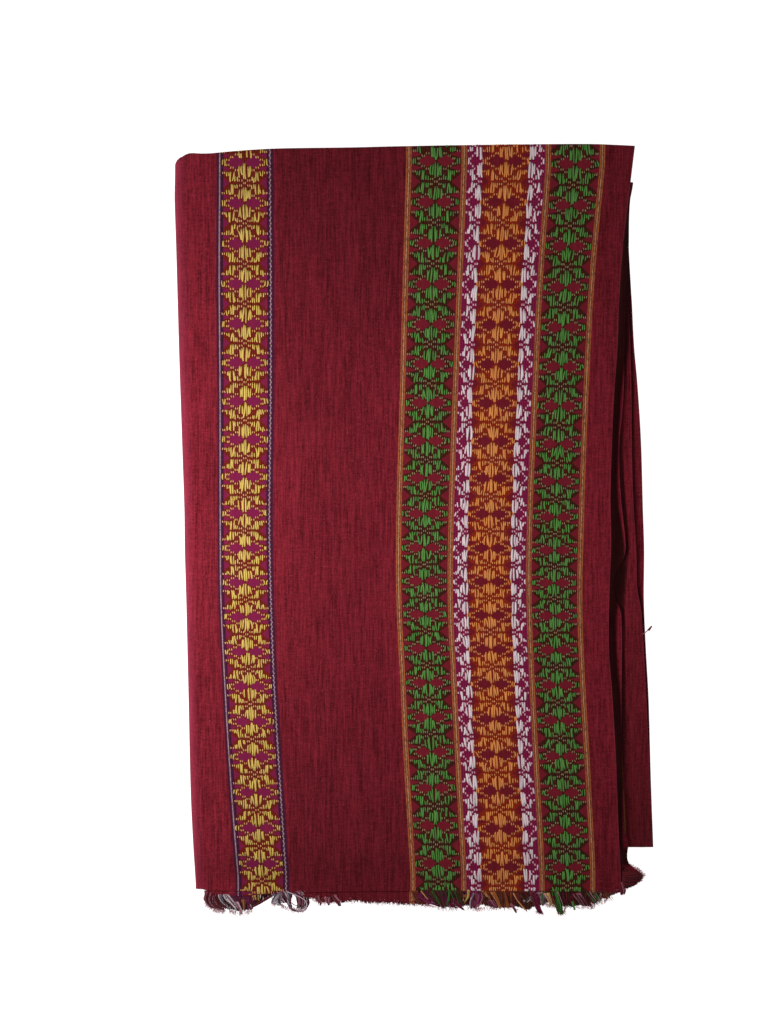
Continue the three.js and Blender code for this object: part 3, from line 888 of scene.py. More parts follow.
class Number:
    """A number inside a material, so that a formula can be written as one"""

    def __init__(self, tree, socket):
        self.tree = tree
        self.socket = socket

    def _math(self, operation, *others, clamp=False):
        node = self.tree.nodes.new("ShaderNodeMath")
        node.operation = operation
        node.use_clamp = clamp
        for slot, value in zip(node.inputs, (self, *others)):
            if isinstance(value, Number):
                self.tree.links.new(value.socket, slot)
            else:
                slot.default_value = value
        return Number(self.tree, node.outputs[0])

    def __add__(self, other):
        return self._math("ADD", other)

    def __sub__(self, other):
        return self._math("SUBTRACT", other)

    def __mul__(self, other):
        return self._math("MULTIPLY", other)

    def minus_from(self, value):
        return (self * -1) + value

    def size(self):
        return self._math("ABSOLUTE")

    def rounded(self):
        return self._math("ROUND")

    def cosine(self):
        return self._math("COSINE")

    def power(self, exponent):
        return self._math("POWER", exponent)

    def above(self, value):
        return self._math("GREATER_THAN", value)

    def larger(self, other):
        return self._math("MAXIMUM", other)

    def held(self):
        """Kept between 0 and 1"""
        return self._math("ADD", 0.0, clamp=True)

    def near(self, middle, half, soft=0.5):
        """1 within half of the middle, 0 outside, with soft edges"""
        return (((self - middle).size() - half) * (-1 / soft) + 0.5).held()


class Finish:
    """A material with its shader, and the few nodes that the cloth needs"""

    def __init__(self, name, roughness=0.9, sheen=0.02):
        self.material = bpy.data.materials.new(name)
        self.material.use_nodes = True
        self.tree = self.material.node_tree
        self.shader = self.tree.nodes["Principled BSDF"]
        self.shader.inputs["Roughness"].default_value = roughness
        self.shader.inputs["Specular IOR Level"].default_value = 0.12
        self.shader.inputs["Sheen Weight"].default_value = sheen
        self.shader.inputs["Sheen Roughness"].default_value = 0.5
        self.place = self.tree.nodes.new("ShaderNodeTexCoord").outputs["Object"]

    def field(self, name):
        node = self.tree.nodes.new("ShaderNodeAttribute")
        node.attribute_name = name
        return Number(self.tree, node.outputs["Fac"])

    def field_colour(self, name):
        node = self.tree.nodes.new("ShaderNodeAttribute")
        node.attribute_name = name
        return node.outputs["Color"]

    def noise(self, across, along, detail=1.0, seed=0.0):
        """Noise from 0 to 1, with its grain's size across and along the cloth in millimetres"""
        mapping = self.tree.nodes.new("ShaderNodeMapping")
        mapping.inputs["Scale"].default_value = [1 / (size * MM) for size in (across, along, along)]
        mapping.inputs["Location"].default_value = (seed, seed * 1.7, seed * 0.6)
        self.tree.links.new(self.place, mapping.inputs["Vector"])
        node = self.tree.nodes.new("ShaderNodeTexNoise")
        node.inputs["Scale"].default_value = 1.0
        node.inputs["Detail"].default_value = detail
        self.tree.links.new(mapping.outputs["Vector"], node.inputs["Vector"])
        return Number(self.tree, node.outputs["Fac"])

    def mix(self, first, second, factor, blend="MIX"):
        node = self.tree.nodes.new("ShaderNodeMix")
        node.data_type = "RGBA"
        node.blend_type = blend
        for place, value in ((0, factor), (6, first), (7, second)):
            slot = node.inputs[place]
            if isinstance(value, Number):
                self.tree.links.new(value.socket, slot)
            elif isinstance(value, bpy.types.NodeSocket):
                self.tree.links.new(value, slot)
            else:
                slot.default_value = value
        return node.outputs[2]

    def colour(self, socket):
        self.tree.links.new(socket, self.shader.inputs["Base Color"])

    def bump(self, height, distance):
        node = self.tree.nodes.new("ShaderNodeBump")
        node.inputs["Distance"].default_value = distance * MM
        self.tree.links.new(height.socket, node.inputs["Height"])
        self.tree.links.new(node.outputs["Normal"], self.shader.inputs["Normal"])


def weighted(*rows):
    """Sum of noises about their middle, each times its weight"""
    total, *others = [(noise - 0.5) * weight for noise, weight in rows]
    for part in others:
        total = total + part
    return total


# Where the cloth's colour changes: across in millimetres, along in motifs and rows
MIDDLE_TONE = 0.42
FOLD_HIGHLIGHT_END = 11
BODY_START = 88
BODY_MIDDLE = 152
BODY_HALF = 45
MARGIN_START = 399
MIDDLE_MOTIF = 9.6
BAND_EDGE = 23
NAVY_PARTS = ((36.6, 3.0), (85.6, 3.2))
NAVY_EDGES = (38.6, 83.2)
NAVY_EDGE_HALF = 1.2

# The fine lines' half widths, and their threads' places across and along
PALE_HALF = 0.42
ZIGZAG_LINE = 85.2
ZIGZAG_HALF = 0.55
ZIGZAGS_PER_MOTIF = 15
GOLD_HALF = 2.75
GOLD_THREAD = 1.95
GOLD_DOTS_PER_MOTIF = 16.5


def cloth_finish():
    """Plain cloth, the bands' ground and the fine lines, by place on the flat cloth, with painted
    highlight and shade
    """
    finish = Finish("handloom_cotton")
    across = finish.field("across")
    motif = finish.field("motif")

    # Uneven yarn: warp streaks of several lengths, fainter weft bars, a soft grain and specks
    streak = finish.noise(1.25, 26, 2.0)
    broad = finish.noise(5, 110, 2.0, 3.0)
    slub = finish.noise(1.9, 5, seed=5.0)
    bar = finish.noise(10, 1.4, seed=9.0)
    mottle = finish.noise(7, 9, 2.0, 17.0)
    grain = finish.noise(1.3, 1.3, seed=13.0)
    speck = finish.noise(1.5, 2.4, seed=31.0)
    uneven = weighted((streak, 1.45), (slub, 0.5), (bar, 0.5), (grain, 0.95), (mottle, 0.2), (broad, -0.5))
    plain = finish.mix(PLAIN_DARK, PLAIN_LIGHT, (uneven + MIDDLE_TONE).held())
    plain = finish.mix(plain, PLAIN_SPECK, ((speck - 0.68) * 7).held() * 0.5)
    # Painted highlight: pinker towards and round the left fold
    plain = finish.mix(plain, LEFT_FOLD_HIGHLIGHT, ((across - FOLD_HIGHLIGHT_END) * -0.1).held() * 0.35)

    # Place in the motif: millimetres from the middle of the band, row 8 at the motif's middle
    names = list(BANDS)
    middle = BANDS[names[0]]["middle"]
    for before, name in zip(names, names[1:]):
        step = BANDS[name]["middle"] - BANDS[before]["middle"]
        middle = across.above(BANDS[name]["starts"]) * step + middle
    aside = (across - middle).size()
    row = (motif - motif.rounded()).size() * -ROWS_PER_MOTIF + MIDDLE_ROW

    def patch(place, half, row_place, row_half):
        """Bare ground inside a diamond: above 0 inside it, 1 in its middle"""
        return (aside - place).size() * (-1 / half) + (row - row_place).size() * (-1 / row_half) + 1

    diamond = ((aside - 8.8).size() * (1 / 7.8)).power(1.3) + (row * (1 / 2.3)).power(1.3)
    between = patch(BAND_EDGE, 8.0, MIDDLE_ROW, 3.0)
    corner = patch(BAND_EDGE, 10.5, 2.6, 1.3)
    bud = patch(8.4, 1.8, 4.7, 1.1)
    bare = diamond.minus_from(1).larger(between).larger(corner) * 6 + 0.5
    bare = bare.held().larger(bud.held() * 0.45)
    slit = ((aside * (2 * math.pi / COLUMN_PITCH)).cosine() * 0.5 + 0.5).power(2)
    bar_line = ((row * (2 * math.pi)).cosine() * -0.5 + 0.5) * 0.25
    worked = (slit * 0.6 + bar_line + (grain - 0.5) * 1.4 + 0.05).held()
    weave = (uneven * 0.8).held()

    # Painted shade on the plain cloth towards both ends and in the middle of the body, and painted light
    # on the right margin
    ends = ((motif - MIDDLE_MOTIF).size() * (1 / MIDDLE_MOTIF)).power(1.6)
    outside = ((across - BODY_START) * 0.2).held()
    body = across.near(BODY_MIDDLE, BODY_HALF, 30) * ends.minus_from(1)
    plain = finish.mix(plain, ENDS_SHADE, ends * outside, "MULTIPLY")
    plain = finish.mix(plain, BODY_SHADE, body, "MULTIPLY")
    plain = finish.mix(plain, MARGIN_PAINTED_LIGHT, across.above(MARGIN_START), "MULTIPLY")
    plain = finish.mix(plain, SELVEDGE_PINK, across.near(SELVEDGE - 0.4, 0.3, 0.8) * 0.3)

    navy = finish.mix(NAVY, NAVY_DARK, ((grain - 0.5) * 4 + 0.3).held())
    first_part, second_part = (across.near(place, half, 0.8) for place, half in NAVY_PARTS)
    first_edge, second_edge = (across.near(place, NAVY_EDGE_HALF, 0.8) for place in NAVY_EDGES)
    cloth = finish.mix(plain, navy, first_part.larger(second_part) * 0.9)
    for name, (bare_colour, light_colour, dark_colour) in GROUNDS.items():
        busy = finish.mix(light_colour, dark_colour, worked)
        quiet = finish.mix(bare_colour, PLAIN_LIGHT, weave)
        ground = finish.mix(busy, quiet, bare)
        cloth = finish.mix(cloth, ground, across.near(BANDS[name]["middle"], BANDS[name]["half"]))
    side_ground = finish.mix(MAGENTA, MAGENTA_DARK, worked * 0.9)
    for side_middle in SIDE_BANDS:
        cloth = finish.mix(cloth, side_ground, across.near(side_middle, SIDE_HALF))
    cloth = finish.mix(cloth, navy, first_edge.larger(second_edge))

    # Fine lines: twisted pale ones beside the inner band, gold ones between the outer bands
    twist = finish.noise(0.9, 3.2, seed=21.0)
    strand = finish.mix(LINE_PINK, LINE_GREY, ((twist - 0.52) * 9).held())
    strand = finish.mix(strand, LINE_OLIVE, ((twist - 0.46) * -9).held() * 0.8)
    dashes = (motif * (2 * math.pi * ZIGZAGS_PER_MOTIF)).cosine() * 0.5 + (grain - 0.5) * 2.4 + 1.0
    zigzag = (motif * (math.pi * ZIGZAGS_PER_MOTIF)).cosine() * 0.4
    zigzag_line = (across + zigzag).near(ZIGZAG_LINE, ZIGZAG_HALF, 0.7)
    cloth = finish.mix(cloth, strand, across.near(PALE_LINES[0], PALE_HALF, 0.7) * 0.9)
    cloth = finish.mix(cloth, strand, zigzag_line * dashes.held() * 0.9)
    for line in GOLD_LINES:
        place = across - line
        turn = motif * (2 * math.pi * GOLD_DOTS_PER_MOTIF) + place * (math.pi / GOLD_THREAD)
        dots = turn.cosine() * 0.5 + 0.5
        seams = ((place * (2 * math.pi / GOLD_THREAD)).cosine() * -0.5 + 0.5).power(1.5)
        dark = (seams * (dots + 0.5) + (twist - 0.42) * 1.8).held()
        gold = finish.mix(GOLD, GOLD_PALE, place.near(0, 0.6, 0.6) * 0.8)
        gold = finish.mix(gold, LINE_OLIVE, ((twist - 0.5) * 5).held() * 0.7)
        gold = finish.mix(gold, GOLD_DARK, dark * 0.85)
        cloth = finish.mix(cloth, gold, across.near(line, GOLD_HALF, 0.6))

    # Painted shade in the hollows between the fanned plies and under the upper plies
    shaded = finish.mix(cloth, PAINTED_HOLLOW_SHADE, finish.field("dark") * 0.86)
    finish.colour(shaded)
    finish.bump(streak * 0.9 + slub * 0.6 + bar * 0.5 + mottle * 0.6, 0.25)
    return finish.material


def float_finish(name, colours):
    """Soft shiny thread, with painted shade at its sides"""
    finish = Finish(name, 0.75, 0.05)
    strand = finish.noise(0.45, 9, 2.0)
    short = finish.field("short")
    shade = finish.field("tone") * 0.3 + (strand - 0.5) * 1.2
    body = finish.mix(colours["core"], colours["short"], short)
    # Painted shade at the thread's sides
    body = finish.mix(body, colours["edge"], finish.field("edge").power(1.5))
    body = finish.mix(body, colours["shade"], shade.held())
    finish.colour(body)
    finish.bump(strand, 0.2)
    return finish.material


def yarn_finish():
    finish = Finish("loose_cotton_yarn", 0.85, 0.12)
    strand = finish.noise(0.6, 0.8, 2.0)
    body = finish.mix(finish.field_colour("yarn"), YARN_SHADE, ((strand - 0.45) * 0.9).held())
    finish.colour(body)
    finish.bump(strand, 0.15)
    return finish.material


# Loose yarn
YARN_COLOURS = {
    "maroon": colour(122, 28, 40),
    "dark": colour(64, 16, 22),
    "purple": colour(122, 26, 76),
    "magenta": colour(146, 34, 90),
    "white": colour(232, 210, 216),
    "grey": colour(128, 124, 140),
    "yellow": colour(238, 200, 106),
    "peach": colour(232, 158, 96),
    "orange": colour(190, 100, 48),
    "brown": colour(116, 54, 30),
    "green": colour(58, 124, 44),
    "leaf": colour(88, 160, 66),
    "olive": colour(62, 42, 18),
    "pink": colour(196, 120, 138),
    "fuzz": colour(214, 164, 172),
}


# A tube of yarn has three sides, and is a little wider for that
YARN_SIDES = 3
YARN_SWELL = 1.12
YARN_WIDTH = 0.46
THIN_YARN = 0.4
YARN_REST = 0.7
FUZZ_COUNT = 1.7
FUZZ_WIDTH = 0.2


class YarnBasket:
    """Collects thin tubes of yarn for one mesh"""

    def __init__(self):
        self.points = []
        self.faces = []
        self.colours = []

    def add(self, path, radius, name, taper=0.6):
        path = np.asarray(path, float)
        tangent = np.gradient(path, axis=0)
        tangent /= np.linalg.norm(tangent, axis=1)[:, None] + 1e-9
        aside = np.cross(tangent, (0.13, 0.07, 0.99))
        aside /= np.linalg.norm(aside, axis=1)[:, None] + 1e-9
        above = np.cross(aside, tangent)
        start = len(self.points)
        sizes = YARN_SWELL * radius * np.linspace(1, taper, len(path))
        for place, side, up, size in zip(path, aside, above, sizes):
            for k in range(YARN_SIDES):
                angle = 2 * math.pi * k / YARN_SIDES
                self.points.append(place + size * (math.cos(angle) * side + math.sin(angle) * up))
        tint = np.array(YARN_COLOURS[name]) * random.uniform(0.75, 1.15)
        self.colours += [tint] * (len(path) * YARN_SIDES)
        walls, caps = tube_faces(len(path), YARN_SIDES)
        self.faces += (walls + start).tolist() + (caps + start).tolist()

    def object(self, name, material):
        return object_of(name, self.points, self.faces, material, {"yarn": np.array(self.colours)}, 180)


def smooth_path(places, reach=1.0, count=7):
    """Smooth path through places, cut off or run on at its end"""
    at = np.arange(len(places), dtype=float)
    steps = np.linspace(0, min(reach, 1.0) * at[-1], count)
    path = np.stack([curve_through(*zip(at, places[:, k]))(steps) for k in (0, 1)], -1)
    run_on = max(0, reach - 1) * np.arange(count)[:, None] ** 2 / 6
    return path + (path[-1] - path[-2]) * run_on


def tuft(basket, height_at, guides, threads, names, width=YARN_WIDTH, ragged=0.08, floor=YARN_REST,
         in_strand=4):
    """Warp ends between guide threads, clinging together in strands"""
    guides = from_photo(guides)
    strands = max(1, round(threads / in_strand))
    for number in range(strands):
        place = (number + random.uniform(0, 1)) / strands * (len(guides) - 1) * 0.999
        i = int(place)
        between = lerp(guides[i], guides[i + 1], place - i) if len(guides) > 1 else guides[0]
        reach = 1 - abs(random.normal(0, ragged))
        name = names[random.integers(len(names))]
        fall = random.uniform(1.1, 1.8)
        rest = floor + random.uniform(0, 1.5)
        phase = random.uniform(0, 6.28)
        for _ in range(in_strand):
            path = smooth_path(between, reach * random.uniform(0.9, 1.03))
            t = np.linspace(0, 1, len(path))
            aside = random.uniform(-0.8, 0.8) * (1 - 0.3 * t) + random.normal(0, 0.3) * t ** 2
            path[:, 0] += aside + 0.3 * np.sin(t * 5 + phase) * t
            path[:, 1] += random.uniform(-0.4, 0.4) + 0.8 * (1 - t) ** 4
            start = height_at(path[0, 0], path[0, 1]) - random.uniform(0.2, 0.6)
            z = rest + random.uniform(0, 0.5) + (start - rest) * np.clip(1 - t * fall, 0, 1) ** 1.3
            other = random.uniform(0, 1) < 0.35
            tint = names[random.integers(len(names))] if other else name
            basket.add(np.column_stack([path, z]), width * random.uniform(0.75, 1.1), tint)


def fuzz(basket, places, count, out, height):
    """Fine fibres that stand out from a line of places (u, v), towards an angle"""
    line = from_photo(places)
    for _ in range(round(count * FUZZ_COUNT)):
        place = random.uniform(0, len(line) - 1.001)
        i = int(place)
        x, y = lerp(line[i], line[i + 1], place - i)
        angle = math.radians(out) + random.normal(0, 0.6)
        length = random.uniform(1.2, 4.0)
        t = np.linspace(-0.6, 1, 5)
        bend = random.normal(0, 0.8) * t ** 2
        path_x = x + length * t * math.cos(angle) - bend * math.sin(angle)
        path_y = y + length * t * math.sin(angle) + bend * math.cos(angle)
        path_z = np.maximum(0.4, height - random.uniform(0, 1.6) - 0.8 * t)
        basket.add(np.column_stack([path_x, path_y, path_z]), FUZZ_WIDTH, "fuzz")


HEM_V = 892


def hanging(*rows):
    """Guides that hang nearly straight from the cloth's end, from rows of (u, lowest v)"""
    return [
        (u, HEM_V, u + 0.3, HEM_V + (v - HEM_V) * 0.4, u + 1, HEM_V + (v - HEM_V) * 0.75, u + 2, v)
        for u, v in rows
    ]


def lock(threads, names, guides, lift=0.0, ragged=0.08, in_strand=3):
    """One tuft of the top ply's fringe. Each guide thread is u, v, u, v, … down to its tip, and
    lift is how far it lies above what the cloth lies on."""
    return {
        "guides": [np.reshape(guide, (-1, 2)) for guide in guides],
        "threads": threads,
        "names": names.split(),
        "ragged": ragged,
        "floor": YARN_REST + lift,
        "in_strand": in_strand,
    }


# The top ply's fringe. The first tufts lie undermost.
TUFTS = (
    lock(150, "dark maroon dark", hanging((205, 901), (212, 907), (220, 910), (229, 911))),
    lock(130, "dark purple maroon", hanging((227, 911), (239, 913), (249, 911))),
    lock(40, "dark purple", hanging((274, 898), (279, 904), (285, 905))),
    lock(70, "dark purple maroon pink", hanging((296.5, 908), (301, 908), (307, 904))),
    lock(130, "purple dark magenta maroon", hanging((464, 907), (472, 909), (481, 906))),
    lock(260, "maroon brown brown orange dark",
         hanging((480, 906), (492, 909), (503, 909.5), (512, 909))),
    lock(180, "brown maroon olive dark brown", hanging((511, 907), (520, 909.5), (528, 911), (533, 908))),
    lock(180, "dark olive maroon brown", hanging((531, 908), (538, 907), (545, 904), (552, 905))),
    lock(340, "dark maroon dark olive maroon",
         hanging((551, 905), (558, 909), (572, 908), (582, 906), (590, 908))),
    lock(220, "dark maroon olive brown maroon",
         hanging((588, 907), (595, 904), (600, 900.5), (608, 897.5), (617, 894))),
    lock(110, "maroon dark maroon maroon dark maroon pink", (
        (206.5, 893, 204, 899, 206.5, 905, 213, 910),
        (211, 894, 209.5, 901, 213, 907, 221, 911.5),
        (217, 895, 215.5, 901, 219.5, 907, 226, 912))),
    lock(55, "grey white white grey dark", (
        (218.5, 896, 221, 902, 226, 907, 231, 911.5),
        (224, 895, 228.5, 901, 233, 906.5, 236, 911),
        (229, 896, 234, 902, 237, 907, 238.5, 911))),
    lock(130, "purple purple magenta purple dark", (
        (229, 895, 235, 902, 238, 909, 241, 915.5),
        (237, 895, 240, 901, 242, 907, 244, 911.5),
        (244, 895, 245.5, 901, 247, 907, 248, 911.5),
        (250, 894, 250.5, 900, 251.5, 906, 253, 911))),
    lock(6, "orange brown peach", (
        (242, 901, 242.8, 904, 243.2, 908, 243.5, 911),
        (245, 901, 245.6, 904, 245.4, 908, 245, 911)), lift=1.6),
    lock(10, "pink white", (
        (236, 903, 238.5, 908, 240.5, 912, 241.5, 916),
        (237.5, 903, 240, 908, 241.5, 912, 242, 915)), lift=1.2),
    lock(150, "dark brown maroon purple dark", (
        (249, 893, 250, 898, 251, 903, 252, 907.5),
        (260, 893, 260, 896, 260, 899.5, 260, 903.2),
        (274, 892, 274, 893, 274, 894.5, 274, 896)), ragged=0.02),
    lock(9, "yellow peach orange", (
        (252, 897, 253, 899, 253, 901, 254, 903),
        (259, 896, 259, 897.5, 259, 899.5, 260, 901)), lift=3.0, ragged=0.3),
    lock(40, "grey white fuzz purple dark", (
        (277, 894, 273.5, 899, 271.5, 903, 273, 906.5),
        (280, 894, 278, 899, 277, 903, 278, 906.5),
        (283, 893, 281.5, 898, 281, 903, 282, 907))),
    lock(30, "purple dark white grey", (
        (283.5, 893, 286.5, 900, 288, 906, 291.5, 910.5),
        (288.5, 893, 290.5, 899, 290, 904, 292.5, 908.5))),
    lock(90, "white grey dark purple pink dark", (
        (278, 893, 281.5, 897, 285, 902, 288.5, 907),
        (285, 892.5, 287.5, 896, 289.2, 900, 289.8, 905),
        (291, 892, 291.5, 894, 291.5, 896, 291, 899))),
    lock(60, "maroon purple pink white dark", (
        (292, 893, 297.5, 899, 297.5, 905, 296, 910),
        (298, 893, 302, 899, 302.5, 905, 300, 911),
        (303, 893, 308, 899, 308.5, 905, 303.5, 910.5))),
    lock(20, "purple dark grey", (
        (289, 906, 292, 910, 298, 911, 305, 908),
        (290, 908, 293, 911.5, 299, 912, 307, 907))),
    lock(24, "maroon maroon pink dark", (
        (317, 897, 318, 901, 319, 904, 320, 907.5),
        (319, 897, 320.5, 901, 321, 904, 320.8, 908)), lift=5.6, ragged=0.25, in_strand=2),
    lock(24, "maroon dark maroon pink", (
        (325, 898, 326, 901, 327, 904, 328.5, 906),
        (330, 898, 330, 901, 329.5, 904, 329, 906)), lift=5.6, ragged=0.25, in_strand=2),
    lock(50, "maroon dark maroon pink", (
        (331, 896, 334, 900, 337, 903.5, 339.5, 907),
        (336, 896, 338, 900, 340, 903.5, 341, 907)), lift=5.6, ragged=0.15, in_strand=2),
    lock(8, "pink fuzz", (
        (334, 896.5, 336, 898, 338.5, 900, 341.5, 901.5),
        (336, 897, 337.5, 898.5, 339.5, 900.5, 342, 902)), lift=6.2),
    lock(56, "brown orange brown maroon", (
        (412, 892, 413, 896, 416, 901, 420, 904.5),
        (418, 892, 418, 896, 420.5, 901, 424, 904)), lift=6.0),
    lock(90, "purple dark purple magenta", (
        (416, 895, 422, 899.5, 428, 902.5, 436, 905.5),
        (421, 894, 428, 899, 435, 903, 442, 908)), lift=6.2),
    lock(420, "olive dark olive dark brown purple dark olive green", (
        (423, 892, 427, 896, 431, 900, 435, 904),
        (434, 892, 437, 897, 440, 902, 443, 908),
        (444, 892, 446, 897, 447, 902, 448, 906.5),
        (454, 892, 456, 897, 458, 902, 460, 907.5),
        (463, 892, 463, 897, 463.5, 902, 464.5, 907)), lift=5.8),
    lock(90, "purple maroon purple", (
        (436, 900, 438, 903, 440, 906, 443, 909),
        (450, 899, 453, 902, 456, 905, 460, 908.5),
        (457, 900, 460, 903, 462, 907, 465.5, 911.5)), lift=6.4),
    lock(14, "green leaf", (
        (448.5, 891, 448.7, 895, 447.5, 900, 446, 907),
        (450, 891, 450, 895, 449, 900, 447.5, 907.5)), lift=7.0),
    lock(84, "magenta magenta magenta pink magenta", (
        (471.5, 893, 471, 898, 470.5, 904, 471, 909.5),
        (476, 892, 476, 898, 475.5, 904, 474.5, 910),
        (480, 891, 480.5, 898, 479.5, 904, 477, 909)), lift=1.2),
    lock(12, "white pink", (
        (479.5, 889, 482.2, 896, 481.4, 902, 477.8, 908.5),
        (480.5, 889, 482.8, 896, 482, 902, 478.6, 909)), lift=2.2, in_strand=3),
    lock(9, "white grey pink", (
        (473.5, 894, 471, 899, 470, 904, 470, 909),
        (474, 895, 471.6, 900, 470.6, 905, 470.8, 910)), lift=2.2, in_strand=3),
    lock(60, "brown orange maroon dark brown", (
        (481, 892, 484, 897, 486, 903, 487, 908),
        (487, 892, 490, 897, 492, 903, 493, 908),
        (493, 892, 496, 897, 498, 903, 500, 908.5))),
    lock(12, "peach orange", (
        (482, 892, 487, 897, 489.5, 901, 488, 904),
        (484, 892, 489, 897, 491.5, 901, 490, 905)), lift=2.0),
    lock(22, "purple magenta pink", (
        (487, 902, 489, 905, 491, 907.5, 493, 909.5),
        (493, 901, 495, 904, 496.5, 907, 498, 909)), lift=1.6),
    lock(20, "orange orange peach", (
        (491, 893, 495, 899, 498, 905, 500, 909),
        (494, 893, 498, 899, 500.5, 905, 502, 909)), lift=2.4),
    lock(100, "maroon dark brown maroon", (
        (496, 892, 500, 898, 503, 904, 504, 909),
        (506, 892, 508, 898, 510, 904, 511, 908.5),
        (514, 892, 516, 898, 518, 903, 520, 907))),
    lock(18, "orange brown orange", (
        (503.5, 892, 505.5, 898, 506, 904, 507, 909),
        (506, 892, 507.5, 898, 508.5, 904, 510, 909)), lift=2.4),
    lock(8, "pink purple", (
        (511, 905, 513, 908.5, 515, 911.5, 516.5, 915),
        (513.5, 905, 515, 908.5, 516.5, 911.5, 517.3, 914))),
    lock(80, "maroon brown dark maroon", (
        (514, 894, 519, 901, 523, 907, 527, 911.5),
        (521, 894, 525, 900, 528, 906, 530.5, 911),
        (528, 894, 529, 899, 530, 904, 531, 908))),
    lock(14, "orange peach orange", (
        (513, 894, 517, 901, 522, 907, 527, 912),
        (514.5, 894, 518.5, 901, 523.5, 907, 528, 911.5)), lift=2.2),
    lock(36, "green olive white brown green", (
        (545, 893, 539, 898, 533, 902, 529, 907),
        (540, 893, 534, 896, 528, 899, 523, 903),
        (524, 892, 521, 894, 517, 896, 513, 897)), lift=1.8),
    lock(16, "purple pink maroon", (
        (533, 893, 527, 896, 523, 900, 522, 904),
        (536, 894, 530, 897, 526, 901, 525, 905)), lift=1.8),
    lock(70, "purple purple magenta maroon", (
        (531, 893, 533, 900, 536, 908, 540, 915),
        (538, 893, 539, 900, 540.5, 908, 543.5, 915.5))),
    lock(36, "fuzz pink green grey maroon", (
        (539, 894, 541, 899, 541, 903, 542, 907),
        (545, 894, 546, 899, 546, 903, 546, 907))),
    lock(34, "yellow peach yellow fuzz", (
        (544, 895, 547, 899, 549, 903, 550, 907),
        (549, 894, 551.5, 899, 553, 903, 554, 906)), lift=1.0),
    lock(90, "green leaf green olive", (
        (552, 891, 554, 899, 557, 907, 560, 915),
        (555, 891, 557.5, 899, 560, 907, 562, 916.5),
        (557.5, 892, 560.5, 899, 562.5, 907, 563.5, 914.5)), lift=2.0),
    lock(14, "dark maroon", (
        (552, 897, 554, 903, 556, 909, 558.5, 915.5),
        (554, 897, 555.5, 903, 557.5, 909, 559.5, 915)), lift=1.6),
    lock(8, "white pink", (
        (556.5, 892, 558.5, 896, 560.5, 899, 562, 903),
        (558, 893, 559.5, 896.5, 561.2, 900, 563, 904)), lift=3.4, in_strand=4),
    lock(150, "dark dark maroon dark olive", (
        (557, 892, 560, 898, 562.5, 903, 565, 907.5),
        (568, 892, 569, 898, 571, 903, 573, 908.5),
        (580, 892, 580, 898, 581, 903, 583, 906.5))),
    lock(60, "maroon maroon dark pink", (
        (573, 895, 577, 900, 580, 904, 582, 907),
        (580, 894, 584, 899, 587, 904, 590, 908.5)), lift=1.2),
    lock(30, "green green leaf olive", (
        (562, 891, 564, 893, 566, 894.5, 567, 896),
        (572, 891, 573, 894, 574.5, 896, 575, 898.5),
        (585, 891, 586, 893, 587, 895, 588, 897)), lift=3.0, ragged=0.25),
    lock(10, "green leaf", (
        (572, 903, 573, 906, 574, 909, 575, 912),
        (574, 903, 575, 906, 575.6, 909, 576, 911)), lift=1.0),
    lock(50, "olive green fuzz dark green maroon", (
        (585, 892, 589, 897, 592, 901, 595.5, 906.5),
        (591, 892, 594, 896, 597, 900, 600, 904),
        (597, 892, 599, 895, 601, 898, 602, 901.5)), lift=1.8),
    lock(44, "brown orange maroon brown", (
        (600, 892, 603, 895, 605, 898, 608, 901),
        (607, 892, 609, 894, 610, 896, 611.5, 898.5)), lift=1.2),
    lock(40, "maroon dark maroon pink", (
        (610, 891, 611, 892.5, 612, 893.8, 612.5, 895.5),
        (620, 891, 620.5, 892, 621, 893, 621, 894)), ragged=0.3),
    lock(44, "maroon pink maroon purple", (
        (619.5, 884, 620.4, 888, 620.8, 892, 621.2, 895.2),
        (621.5, 884, 623.2, 888, 623.6, 892, 623.2, 895.8),
        (622.5, 885.5, 625.2, 888, 626.0, 891.5, 624.8, 894.8)), lift=3.0, ragged=0.02),
)

# Single threads that curl or cross
CURLED = (
    ("white", 0.5, ((287, 892), (297, 896), (306, 902), (305, 909), (297, 911), (293, 908))),
    ("purple", 0.5, ((290, 892), (301, 897), (308, 905), (303, 912), (294, 911))),
    ("dark", 0.45, ((283, 892), (288, 900), (296, 906), (305, 905), (309, 899))),
    ("grey", 0.45, ((274, 892), (272, 899), (277, 905), (282, 902), (281, 896))),
    ("white", 0.55, ((223.5, 895), (226, 900), (231, 904.5), (236, 910))),
    ("white", 0.5, ((227, 899), (230.5, 903), (234, 907), (235.5, 910))),
    ("yellow", 0.8, ((468, 890), (468, 896), (466.8, 899.5), (464, 903), (462, 907))),
    ("yellow", 0.8, ((468.8, 890), (468.8, 896), (467.4, 899.5), (464.8, 903), (462.8, 907))),
    ("yellow", 0.7, ((469.5, 891), (470.5, 894), (471.5, 897.5))),
    ("peach", 0.8, ((421, 891), (424.3, 895), (426.5, 898), (428, 900))),
    ("white", 0.4, ((431.5, 902), (434, 903.5), (437.5, 905))),
)


# Heights of the single threads, with the places u where they lie on the second ply, and of
# the ends below and at the frayed corner
CURL_HIGH = 8.2
CURL_LOW = 4.6
CURL_LOW_ON_SECOND = 8.0
ON_SECOND = (418, 462)
LOWER_ENDS_TOP = 3.4
LOWER_ENDS_BACK = 3.5
CORNER_LIFT = 1.2

# The last weft thread, come loose beside the inner band
HEM_THREAD = ((274, 895.5), (268, 899.2), (262, 903), (256, 906.4), (251.5, 908.5))

